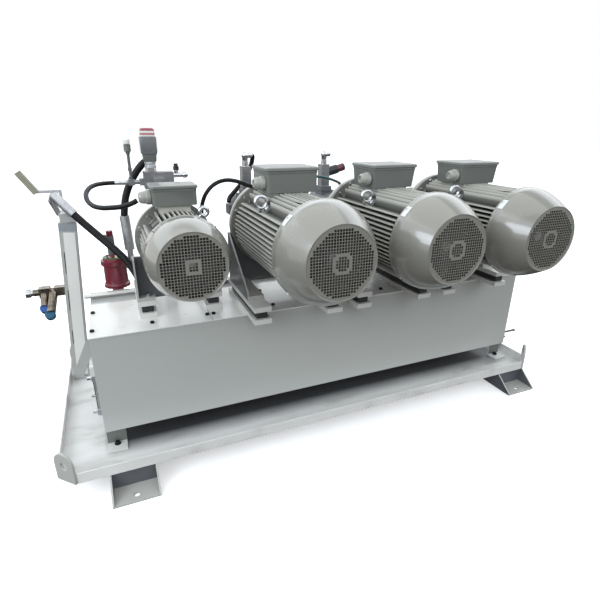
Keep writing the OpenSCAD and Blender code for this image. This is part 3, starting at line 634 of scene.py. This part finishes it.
HOSES = [
    # node, route in mm as in the CAD, diameter in mm, stiffness, material
    ("return_hose", [(-1303, 296, 1136), (-1260, 282, 1086), (-1210, 262, 1032), (-1160, 236, 980),
     (-1112, 206, 930), (-1068, 177, 876), (-1036, 156, 818), (-1019, 147, 772),
     (-1015, 145, 742)], 40, "stiff", HOSE),
    ("loop_hose", [(-997, -348, 1286), (-1018, -347, 1276), (-1055, -330, 1262), (-1105, -290, 1252),
     (-1155, -230, 1246), (-1192, -150, 1252), (-1210, -50, 1274), (-1200, 50, 1294),
     (-1172, 145, 1302), (-1135, 220, 1301), (-1100, 255, 1299), (-1072, 265, 1298)],
     22, "stiff", HOSE),
    ("suction_hose", [(-880, 345, 1408), (-905, 352, 1392), (-936, 356, 1360), (-980, 357, 1298),
     (-1014, 357, 1232), (-1034, 356, 1165), (-1045, 355, 1101)], 40, "stiff", HOSE),
    ("motor_cable", [(-713, -285, 1190), (-709, -285, 1225), (-700, -285, 1262), (-676, -285, 1304),
     (-642, -285, 1334), (-598, -287, 1350), (-549, -290, 1348), (-505, -294, 1334),
     (-476, -298, 1322), (-451, -300, 1317)], 19, "medium", HOSE),
    ("stack_hose", [(-274, 324, 1428), (-262, 336, 1422), (-258, 352, 1400), (-266, 366, 1360),
     (-290, 378, 1304), (-332, 387, 1245), (-378, 390, 1196), (-408, 380, 1166),
     (-418, 364, 1146)],
     28, "stiff", HOSE),
    ("control_hose", [(-191, -330, 1356), (-150, -322, 1358), (-100, -305, 1354), (-45, -277, 1342),
     (10, -243, 1326), (55, -207, 1311), (86, -172, 1300), (100, -140, 1293)],
     14, "medium", TEAL),
]


def make_hoses():
    for node, route, diameter, stiffness, material in HOSES:
        points = metres(route)
        o = tube(node + "_cover", points, diameter * MM / 2, material)
        stands_for(o, node)


make_hoses()


# ---------------------------------------------------------------- tray, tank and what stands on them

VALVE_HEAD_Z = 1.133
FLANGE = 0.02


def make_base():
    dress("drip_tray", shade_under_tank(TRAY), 0.002)
    # Painted shade on the tray feet's upright faces above their flange.
    paint_shade_on_uprights("tray_feet", PLATE, DARK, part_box("tray_feet")[0][2] + FLANGE)
    dress("lifting_lugs", PLATE, 0.0015)
    dress("tank_shell", TANK, 0.004, segments=3)
    # Painted shade: the tank feet's upright faces take the dark box paint.
    paint_shade_on_uprights("tank_feet", WHITE, BOX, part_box("tank_feet")[0][2] + FLANGE)
    dress("tank_covers", COVER, 0.0012)
    dress("rear_crossbar", WHITE, 0.0012)
    dress("damping_rails", WHITE, 0.0015)
    dress("rail_rubbers", RUBBER, 0.004)
    zoned("post_valve", POST, [(WHITE, lambda c: c.z > VALVE_HEAD_Z)], 0.004, segments=3)
    make_post()
    make_gauge()


POST_FOOT = Vector((-1.424, 0.330, 0.106))
POST_TOP = Vector((-1.347, 0.330, 1.085))


def make_post():
    """The leaning post with its lighter front plate, the band at its top and dark strips that paint the shade
    in its slots.
    """
    shell = soften(piece("post_tube", clean_copy("support_post"), POST), 0.003)
    foot, top = POST_FOOT, POST_TOP
    lean = top - foot
    side = Vector((lean.z, 0, -lean.x)).normalized()

    def strip(name, left, right, low, high, front, material):
        a, b = foot + lean * low, foot + lean * high
        corners = [a + side * left, a + side * right, b + side * right, b + side * left]
        outline = [(c.x, c.z) for c in corners]
        return prism(name, outline, (0, foot.y, 0), (0, -1, 0), front, material, up=(1, 0, 0), width=0.0008)

    parts = [shell,
             strip("post_plate", -0.024, 0.036, 0.03, 0.945, 0.003, COVER),
             strip("post_band", -0.0445, 0.0445, 0.953, 0.998, 0.002, BAND),
             # The gap strips are near black inlays: painted shade inside the post's slots.
             strip("post_gap_1", -0.030, -0.026, 0.70, 0.83, 0.001, SLOT),
             strip("post_gap_2", -0.030, -0.026, 0.47, 0.60, 0.001, SLOT),
             strip("post_gap_3", -0.030, -0.026, 0.25, 0.34, 0.001, SLOT)]
    stands_for(joined("post", parts), "support_post")


def make_gauge():
    """Level gauge: a dark strip in a channel, a clear upper cap and banjo bolts."""
    lo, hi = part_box("level_gauge")
    y = (lo[1] + hi[1]) / 2
    face = hi[0]
    parts = [prism("gauge_channel", rounded(0.026, 0.212, 0.004), (face - 0.008, y, 0.346), (-1, 0, 0), 0.011,
                   FERRULE, up=(0, 1, 0)),
             prism("gauge_strip", rounded(0.015, 0.195, 0.004), (face - 0.019, y, 0.346), (-1, 0, 0), 0.004,
                   SLOT, up=(0, 1, 0)),
             prism("gauge_cap", rounded(0.028, 0.066, 0.010), (face - 0.004, y, 0.490), (-1, 0, 0), 0.022,
                   CLEAR, up=(0, 1, 0), width=0.003)]
    for i, z in enumerate((0.264, 0.454)):
        parts.append(prism(f"gauge_block_{i}", rounded(0.034, 0.036, 0.005), (face, y, z), (-1, 0, 0), 0.026,
                           FERRULE, up=(0, 1, 0)))
        parts += hex_bolt(f"gauge_bolt_{i}", (face - 0.026, y, z), (-1, 0, 0), 0.017, 0.020, ZINC)
    parts += hex_bolt("gauge_plug", (face - 0.022, y, 0.354), (-1, 0, 0), 0.013, 0.018, ZINC)
    stands_for(joined("gauge", parts), "level_gauge")


def make_bolts():
    parts = []
    for i, (lo, hi) in enumerate(solids("cover_bolts")):
        at = ((lo.x + hi.x) / 2, (lo.y + hi.y) / 2, lo.z)
        if lo.z > 0.5:
            parts += socket_bolt(f"cover_bolt_{i}", at, (0, 0, 1), (hi.x - lo.x) / 2, hi.z - lo.z, BLACKING)
        else:
            parts += hex_bolt(f"foot_bolt_{i}", at, (0, 0, 1), 0.021, hi.z - lo.z, BLACKING)
    stands_for(joined("cover_bolt_heads", parts), "cover_bolts")
    dress("bracket_bolts", ZINC, 0.001)


# ---------------------------------------------------------------- motors

class Bay:
    """Where one motor sits, from its CAD nodes."""

    def __init__(self, k):
        self.k = k
        lo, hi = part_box(f"fan_cowl_{k}")
        self.x, self.z = (lo[0] + hi[0]) / 2, (lo[2] + hi[2]) / 2
        self.r = (hi[2] - lo[2]) / 2
        self.front, self.back = lo[1], hi[1]
        self.small = k == 1

    def at(self, across, y, up):
        return Vector((self.x + across, y, self.z + up))


BAYS = [Bay(k) for k in (1, 2, 3, 4)]


GRILLE_PITCH = 0.0119


def grille_holes(small):
    """Square holes in a near-round field, with a plain ring round the middle ones."""
    loops = []
    n, reach, corner = (10, 106, 14) if small else (11, 131, 15)
    h = GRILLE_PITCH * 0.39
    for i in range(-n, n + 1):
        for j in range(-n, n + 1):
            far, near = max(abs(i), abs(j)), min(abs(i), abs(j))
            ring = far == 2 if small else (far == 3 and near < 3) or (far == 2 and near == 2)
            if i * i + j * j > reach or far + near > corner or ring:
                continue
            x, y = i * GRILLE_PITCH, j * GRILLE_PITCH
            loops.append([(x - h, y - h), (x - h, y + h), (x + h, y + h), (x + h, y - h)])
    return loops


def cowl_profile(bay, inset=0.0):
    """(radius, distance behind the front) along a cowl's shoulder, from the flat end outwards."""
    disc = (0.81 if bay.small else 0.70) * bay.r
    bulge = 0.110 if bay.small else 0.150
    steps = 14
    return [(disc + (bay.r - disc) * (1 - (1 - k / steps) ** 1.4) - inset, bulge * k / steps + inset)
            for k in range(steps + 1)]


def blank_plate(bay):
    """A small blank plate that follows the cowl's side."""
    b = bmesh.new()
    rows = []
    for k in range(7):
        a = math.radians(131 + 2.2 * k)
        rows.append([b.verts.new((bay.x + (bay.r + 0.0012) * math.cos(a), bay.front + d,
                                  bay.z + (bay.r + 0.0012) * math.sin(a))) for d in (0.148, 0.178)])
    for low, high in zip(rows, rows[1:]):
        b.faces.new((low[0], low[1], high[1], high[0]))
    bmesh.ops.recalc_face_normals(b, faces=b.faces)
    mesh = bpy.data.meshes.new("plate")
    b.to_mesh(mesh)
    b.free()
    keep_edges(mesh)
    return piece(f"cowl_plate_{bay.k}", mesh, LABEL)


def make_cowl(bay):
    """Drawn sheet cowl: a long shoulder with a crisp edge round the flat end, and its grille."""
    r, front, back = bay.r, bay.front, bay.back
    wall, sunk = 0.003, 0.0016
    outside = cowl_profile(bay)
    disc = outside[0][0]
    length = back - front
    edge = [(disc - 0.005, sunk), (disc - 0.0035, 0.0002)]
    bead = [(r, length - 0.014), (r + 0.0015, length - 0.011), (r + 0.0015, length - 0.003), (r, length)]
    inside = cowl_profile(bay, wall)[::-1] + [(disc - 0.005, wall)]
    shell = turned(edge + outside + bead + [(r - wall, length)] + inside + edge[:1], 96, math.radians(20))
    shell.transform(frame_on((bay.x, front, bay.z), (0, 1, 0)))
    parts = [piece(f"cowl_shell_{bay.k}", shell, COWL)]
    parts.append(prism(f"cowl_grille_{bay.k}", circle(disc - 0.0045, 96), (bay.x, front + sunk, bay.z),
                       (0, 1, 0), 0.0016, COWL, width=0, holes=grille_holes(bay.small)))
    # A near black sheet inside the cowl, behind the grille: painted shade for the cowl's inside.
    shadow_sheet = turned([(disc - 0.012, 0.009)] + cowl_profile(bay, wall + 0.0015)[1:]
                    + [(r - 0.006, length), (0.07, length)], 64)
    shadow_sheet.transform(frame_on((bay.x, front, bay.z), (0, 1, 0)))
    parts.append(piece(f"cowl_lining_{bay.k}", shadow_sheet, INSIDE_SHADE))
    if not bay.small:
        parts.append(blank_plate(bay))
    for a in (45, 135, 225, 315):
        t = math.radians(a)
        at = bay.at((r + 0.001) * math.cos(t), back - 0.02, (r + 0.001) * math.sin(t))
        parts += socket_bolt(f"cowl_screw_{bay.k}_{a}", at - Vector((math.cos(t), 0, math.sin(t))) * 0.002,
                             (math.cos(t), 0, math.sin(t)), 0.006, 0.005, ZINC)
    stands_for(joined(f"cowl_{bay.k}", parts), f"fan_cowl_{bay.k}")


def make_terminal_boxes():
    bodies, lids = [], []
    tops = solids("terminal_box_lids")
    for bay, (lo, hi), (llo, lhi) in zip(BAYS, solids("terminal_boxes"), tops):
        cx, cy = (lo.x + hi.x) / 2, (lo.y + hi.y) / 2
        w, d = hi.x - lo.x, hi.y - lo.y
        corner = 0.016
        taper = 0.93 if bay.k > 2 else 0.985
        outline = rounded(w, d, corner)
        layers = [(lo.z, [(cx + x * taper, cy + y * taper) for x, y in outline]),
                  (hi.z - 0.012, [(cx + x * 0.985, cy + y * 0.985) for x, y in outline]),
                  (hi.z - 0.010, [(cx + x, cy + y) for x, y in outline]),
                  (hi.z - 0.0006, [(cx + x, cy + y) for x, y in outline])]
        bodies.append(lofted(f"box_{bay.k}", layers, BOX, width=0.003))
        lw, ld = lhi.x - llo.x, lhi.y - llo.y
        rim = rounded(lw, ld, corner)
        layers = [(llo.z, [(cx + x * 0.985, cy + y * 0.985) for x, y in rim]),
                  (llo.z + 0.002, [(cx + x, cy + y) for x, y in rim]),
                  (lhi.z - 0.004, [(cx + x, cy + y) for x, y in rim]),
                  (lhi.z - 0.001, [(cx + x * 0.97, cy + y * 0.965) for x, y in rim]),
                  (lhi.z, [(cx + x * 0.86, cy + y * 0.84) for x, y in rim])]
        lids.append(lofted(f"lid_{bay.k}", layers, LID, width=0))
        for sx in (-1, 1):
            for sy in (-1, 1):
                at = (cx + sx * (lw / 2 - 0.014), cy + sy * (ld / 2 - 0.014), lhi.z - 0.005)
                lids += socket_bolt(f"lid_screw_{bay.k}{sx}{sy}", at, (0, 0, 1), 0.0055, 0.0048, ZINC)
    stands_for(joined("terminal_box_bodies", bodies), "terminal_boxes")
    stands_for(joined("terminal_box_tops", lids), "terminal_box_lids")


def make_glands():
    parts = []
    for i, (lo, hi) in enumerate(solids("cable_glands")):
        c = Vector((hi.x, (lo.y + hi.y) / 2, (lo.z + hi.z) / 2))
        r = (hi.z - lo.z) / 2 * 0.86
        l = hi.x - lo.x
        parts.append(lathe(f"gland_{i}", [(0, 0), (r * 1.1, 0), (r * 1.1, l * 0.34), (r * 0.94, l * 0.38),
                     (r * 0.94, l * 0.62), (r * 0.86, l * 0.85), (r * 0.66, l), (r * 0.52, l),
                     (r * 0.50, l * 0.88), (0, l * 0.86)], c, (-1, 0, 0), MOTOR, 40, width=0.001))
    stands_for(joined("cable_gland_bodies", parts), "cable_glands")


EYE_BAR = 0.009


def ring_mesh(across):
    """A round bar bent to a ring round Z, across being its outer radius."""
    turns, sides = 36, 16
    b = bmesh.new()
    loops = []
    for k in range(turns):
        a = 2 * math.pi * k / turns
        u = Vector((math.cos(a), math.sin(a), 0))
        loops.append([b.verts.new(u * (across - EYE_BAR + EYE_BAR * math.cos(t))
                                  + Vector((0, 0, EYE_BAR * math.sin(t))))
                      for t in [2 * math.pi * j / sides for j in range(sides)]])
    for k in range(turns):
        p, q = loops[k], loops[(k + 1) % turns]
        for j in range(sides):
            b.faces.new((p[j], q[j], q[(j + 1) % sides], p[(j + 1) % sides]))
    bmesh.ops.recalc_face_normals(b, faces=b.faces)
    ring = bpy.data.meshes.new("ring")
    b.to_mesh(ring)
    b.free()
    return ring


def make_eyes():
    """Forged lifting eyes with a collar: the small motor's leans right, the large ones' lean left."""
    parts = []
    for i, (lo, hi) in enumerate(solids("lifting_eyes")):
        bay = min(BAYS, key=lambda b: abs(b.x - (lo.x + hi.x) / 2))
        y = (lo.y + hi.y) / 2
        side, lean, across, gap = (1, 51, 0.027, 0.017) if bay.small else (-1, 47, 0.036, 0.004)
        out = Vector((side * math.cos(math.radians(lean)), 0, math.sin(math.radians(lean))))
        seat = bay.at(0, y, 0) + out * bay.r * 0.85
        ring = ring_mesh(across)
        ring.transform(frame_on(seat + out * (gap + across), (0, 1, 0)))
        keep_edges(ring)
        parts.append(piece(f"eye_ring_{i}", ring, ZINC))
        parts.append(lathe(f"eye_collar_{i}", [(0, 0), (0.018, 0), (0.018, 0.006), (0.012, 0.008),
                     (0.0095, 0.010), (0.010, gap + 0.011), (0, gap + 0.012)], seat, out, ZINC, 32))
    stands_for(joined("eye_bolts", parts), "lifting_eyes")


def make_motors():
    for bay in BAYS:
        make_cowl(bay)
        dress(f"cooling_fan_{bay.k}", FAN, 0.001, f"rotor_{bay.k}")
        shaft = dress(f"rotor_shaft_{bay.k}", ZINC, 0.0015, f"rotor_{bay.k}")
        for v in shaft.data.vertices:
            v.co.x = bay.x + (v.co.x - bay.x) * 0.98
            v.co.z = bay.z + (v.co.z - bay.z) * 0.98
    housings = dress("stator_housings", CAST, 0.0008, segments=1)
    # Each motor's housing gets its own material, with painted shade between the fins and painted highlights
    # on their edges.
    for slot, bay in enumerate(BAYS):
        if slot:
            housings.data.materials.append(shaded_housing_paint(bay))
        else:
            housings.data.materials[0] = shaded_housing_paint(bay)
        for f in housings.data.polygons:
            if abs(f.center.x - bay.x) < 0.262:
                f.material_index = slot
    dress("drive_end_shields", CAST, 0.002)
    # Painted shade on the brackets' upright faces above their foot.
    paint_shade_on_uprights("motor_brackets", PLATE, DARK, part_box("motor_brackets")[0][2] + 0.03)
    make_terminal_boxes()
    make_glands()
    make_eyes()


# ---------------------------------------------------------------- pumps, valves and filter

def make_solenoid():
    """Solenoid valve: nickel neck with its nut, base, tapered coil housing and a red clear cap."""
    lo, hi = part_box("solenoid_valve")
    x, y = (lo[0] + hi[0]) / 2, (lo[1] + hi[1]) / 2
    z = lo[2]
    at = (x, y, z)
    up = (0, 0, 1)
    nut = turned([(0, 0.002), (0.031, 0.002), (0.031, 0.020), (0.028, 0.022), (0, 0.022)], 6)
    keep_edges(nut, math.radians(15))
    nut.transform(frame_on(at, up))

    def box(width, corner):
        return [(x + a, y + b) for a, b in rounded(width, width, corner)]

    parts = [piece("valve_nut", nut, CHROME),
             lathe("valve_neck", [(0, 0.02), (0.031, 0.02), (0.031, 0.034), (0.028, 0.036), (0.028, 0.041),
                                  (0.031, 0.043), (0.031, 0.058), (0, 0.058)], at, up, FERRULE),
             lofted("valve_base", [(z + 0.054, box(0.062, 0.010)), (z + 0.060, box(0.068, 0.010)),
                                   (z + 0.093, box(0.074, 0.010))], BOX, width=0.002),
             lofted("coil_case", [(z + 0.092, box(0.079, 0.012)), (z + 0.098, box(0.083, 0.012)),
                                  (z + 0.178, box(0.086, 0.012)), (z + 0.184, box(0.083, 0.012))],
                    GREY_PLASTIC, width=0.002),
             lofted("coil_cap", [(z + 0.184, box(0.074, 0.012)), (z + 0.214, box(0.075, 0.012))],
                    CLEAR, width=0.002),
             lofted("coil_window", [(z + 0.192, box(0.0756, 0.012)), (z + 0.203, box(0.0758, 0.012))],
                    PINK, width=0.001),
             lofted("coil_top", [(z + 0.213, box(0.075, 0.012)), (z + 0.219, box(0.074, 0.012)),
                                 (z + 0.227, box(0.060, 0.014))], RED_LID, width=0.002),
             lathe("coil_plug", [(0, 0), (0.012, 0), (0.012, 0.004), (0.009, 0.006), (0, 0.006)],
                   (x + 0.039, y, z + 0.115), (1, 0, 0), DARK_PLASTIC)]
    stands_for(joined("solenoid", parts), "solenoid_valve")


def make_sensor():
    """Pressure sensor: a thick stem with nuts, a dark knurled part and a bright top."""
    lo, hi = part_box("pressure_sensor")
    at = ((lo[0] + hi[0]) / 2, (lo[1] + hi[1]) / 2, lo[2])
    up = (0, 0, 1)
    r, h = (hi[0] - lo[0]) / 2, hi[2] - lo[2]
    neck = h - 0.064
    stem = [(0, 0), (0.008, 0), (0.008, neck * 0.30), (0.0105, neck * 0.31), (0.0105, neck * 0.42),
            (0.008, neck * 0.43), (0.008, neck * 0.9), (0.0115, neck * 0.92), (0.0115, neck), (0, neck)]
    ribs = [(0, neck)]
    for k in range(5):
        foot = neck + 0.0076 * k
        ribs += [(r - 0.001, foot), (r, foot + 0.002), (r, foot + 0.006)]
    ribs.append((0, neck + 0.038))
    top = [(0, neck + 0.038), (r - 0.003, neck + 0.038), (r - 0.002, neck + 0.042), (r - 0.002, h - 0.004),
           (r - 0.005, h), (0, h)]
    parts = [lathe("sensor_stem", stem, at, up, IRON, 24),
             lathe("sensor_ribs", ribs, at, up, BOX, 24, width=0),
             lathe("sensor_top", top, at, up, CLEAR, 24)]
    stands_for(joined("sensor", parts), "pressure_sensor")


def make_valve_block():
    """The block with two plugs on its front."""
    block = soften(piece("block_body", clean_copy("valve_block"), BLOCK), 0.002)
    lo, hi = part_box("valve_block")
    y, z = lo[1], (lo[2] + hi[2]) / 2
    w = hi[0] - lo[0]
    plug = [(0, 0), (0.013, 0), (0.013, 0.0012), (0.010, 0.002), (0.005, 0.002), (0.005, 0.0005), (0, 0.0005)]
    parts = [block]
    for i, (share, material) in enumerate(((0.34, CHROME), (0.72, IRON))):
        parts.append(lathe(f"block_plug_{i}", plug, (lo[0] + w * share, y, z), (0, -1, 0), material, 24))
    stands_for(joined("block", parts), "valve_block")


def make_filter_lid():
    """The filter's lid with its green seal, a cream plug and a bright ring."""
    lid = soften(piece("lid_body", clean_copy("filter_lid"), RED_LID), 0.002)
    lo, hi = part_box("filter_lid")
    x, y, z = (lo[0] + hi[0]) / 2, (lo[1] + hi[1]) / 2, lo[2]
    parts = [lid,
             lathe("lid_seal", [(0.040, 0), (0.0605, 0), (0.0605, 0.004), (0.040, 0.004)], (x, y, z + 0.0135),
                   (0, 0, 1), GREEN),
             lathe("lid_plug", [(0, 0), (0.014, 0), (0.014, 0.010), (0.009, 0.014), (0, 0.014)],
                   (x + 0.020, y - 0.026, z + 0.014), (0, 0, 1), CREAM),
             lathe("lid_ring", [(0.010, 0), (0.022, 0), (0.022, 0.005), (0.010, 0.005)],
                   (x - 0.008, y, z + 0.014), (0, 0, 1), CHROME)]
    stands_for(joined("filter_top", parts), "filter_lid")


def make_stacks():
    """Valve stacks: iron feet, machined bodies, bright elbows and one dark, red-ringed knob."""
    feet_top, elbow_foot = 1.229, 1.366
    knob = (0.245, 0.40)
    ring = (0.309, 0.333)

    def on_knob(c, span):
        return span[0] < c.x < span[1] and 1.25 < c.z < 1.39

    zoned("pump_valve_stacks", BLOCK,
          [(CHROME, lambda c: c.z > elbow_foot), (IRON, lambda c: c.z < feet_top),
           (DARK_PLASTIC, lambda c: on_knob(c, knob)), (RED, lambda c: on_knob(c, ring))], 0.002)


def make_caps():
    """Two dust caps, told apart by the plane half way between them."""
    middle = Vector((-1.5345, 0.345, 0.5755))
    second = Vector((27, -54, -23)).normalized()
    zoned("dust_caps", BLUE, [(CYAN, lambda c: (c - middle).dot(second) > 0)], 0.003)


def make_fittings():
    """Bright hose fittings; the suction hose's foot and the post's fitting have grey ferrules."""
    foot = (-1.08, -1.005)
    post_side = -1.24
    zoned("hose_fittings", CHROME, [(FERRULE, lambda c: foot[0] < c.x < foot[1] and c.y > 0.31),
                                    (FERRULE, lambda c: c.x < post_side)], 0.001)


def make_indicator():
    """The clogging indicator: grey head, red cap, red side knob and a plated foot."""
    cap_z, knob_x, foot_z = 1.0005, -1.1635, 0.9
    zoned("clogging_indicator", GREY_PLASTIC,
          [(RED, lambda c: c.z > cap_z), (RED_LID, lambda c: c.x < knob_x),
           (FERRULE, lambda c: c.z < foot_z)], 0.003)


DRAIN_BODY_X = 1.295
SLEEVE_X = -1.468


def make_hydraulics():
    dress("bell_housings", BELL, 0.002)
    dress("pumps", IRON, 0.004)
    dress("suction_pipes", WHITE, 0.002)
    make_valve_block()
    make_solenoid()
    dress("isolator_body", CHROME, 0.001)
    dress("isolator_knob", DARK_PLASTIC, 0.002, "cock_knob")
    make_sensor()
    make_stacks()
    dress("service_manifold", BRONZE, 0.002)
    dress("service_knob", CHROME, 0.002, "manifold_knob")
    make_caps()
    make_fittings()
    dress("return_filter", RED, 0.003)
    make_filter_lid()
    make_indicator()
    zoned("drain_valve", BRONZE, [(CHROME, lambda c: c.x > DRAIN_BODY_X)], 0.002)
    dress("drain_lever", BLACKING, 0.0015, "drain_handle")
    dress("filler_neck", ZINC, 0.0015)
    dress("breather_cap", DARK_PLASTIC, 0.003, "cap")
    zoned("post_valve_lever", FERRULE, [(SLEEVE, lambda c: c.x < SLEEVE_X)], 0.003, "post_lever")


make_base()
make_bolts()
make_motors()
make_hydraulics()


# ---------------------------------------------------------------- floor and light

def area_light(name, at, aim, size, power, colour=(1, 1, 1)):
    data = bpy.data.lights.new(name, "AREA")
    data.shape = "RECTANGLE"
    data.size, data.size_y = size
    data.energy = power
    data.color = colour
    o = bpy.data.objects.new(name, data)
    o.matrix_world = frame_on(at, Vector(at) - Vector(aim))
    bpy.context.scene.collection.objects.link(o)


BAND_POWER = 2.0


def studio_world():
    """White all round with a brighter band of sky above it, dark below a fairly sharp horizon.

    Both ramps run over the height of a direction, from -1 straight down to 1 straight up.
    """
    world = bpy.data.worlds.new("studio")
    world.use_nodes = True
    t = world.node_tree
    where = t.nodes.new("ShaderNodeTexCoord")
    axes = t.nodes.new("ShaderNodeSeparateXYZ")
    t.links.new(where.outputs["Generated"], axes.inputs["Vector"])

    def ramp(stops):
        span = t.nodes.new("ShaderNodeMapRange")
        span.inputs["From Min"].default_value = -1
        t.links.new(axes.outputs["Z"], span.inputs["Value"])
        node = t.nodes.new("ShaderNodeValToRGB")
        e = node.color_ramp.elements
        while len(e) < len(stops):
            e.new(0.5)
        for element, (at, colour) in zip(e, stops):
            element.position = (at + 1) / 2
            element.color = (*colour, 1)
        t.links.new(span.outputs["Result"], node.inputs["Fac"])
        return node.outputs["Color"]

    sky = ramp([(-0.35, (0.08, 0.08, 0.08)), (-0.13, (0.16, 0.16, 0.155)), (-0.08, (1.0, 1.0, 1.0)),
                (0.28, (1.0, 1.0, 1.0)), (0.34, (0.90, 0.95, 1.0))])
    t.links.new(sky, t.nodes["Background"].inputs["Color"])
    band = ramp([(0.28, (0.5, 0.5, 0.5)), (0.34, (1, 1, 1)), (0.66, (1, 1, 1)), (0.78, (0.25, 0.25, 0.25))])
    power = t.nodes.new("ShaderNodeMath")
    power.operation = "MULTIPLY"
    power.inputs[1].default_value = BAND_POWER
    t.links.new(band, power.inputs[0])
    t.links.new(power.outputs["Value"], t.nodes["Background"].inputs["Strength"])
    return world


def make_stage():
    mesh = bpy.data.meshes.new("floor")
    s = 30
    mesh.from_pydata([(-s, -s, 0), (s, -s, 0), (s, s, 0), (-s, s, 0)], [], [(0, 1, 2, 3)])
    floor = bpy.data.objects.new("floor", mesh)
    ground = paint("floor_paint", (0.9, 0.9, 0.9), 0.7, 0.0)
    glow = ground.node_tree.nodes["Principled BSDF"]
    glow.inputs["Emission Color"].default_value = (1, 1, 1, 1)
    glow.inputs["Emission Strength"].default_value = 0.4
    mesh.materials.append(ground)
    bpy.context.scene.collection.objects.link(floor)
    floor.visible_diffuse = False
    floor.visible_glossy = False
    bpy.context.scene.world = studio_world()
    middle = (0, 0, 0.9)
    area_light("ceiling", (-0.6, 0.0, 5.0), middle, (6, 4), 80)
    area_light("window", (-5.0, -2.6, 3.2), middle, (2.5, 3.0), 125, (0.84, 0.91, 1.0))


make_stage()
bpy.context.scene.view_settings.view_transform = "Standard"
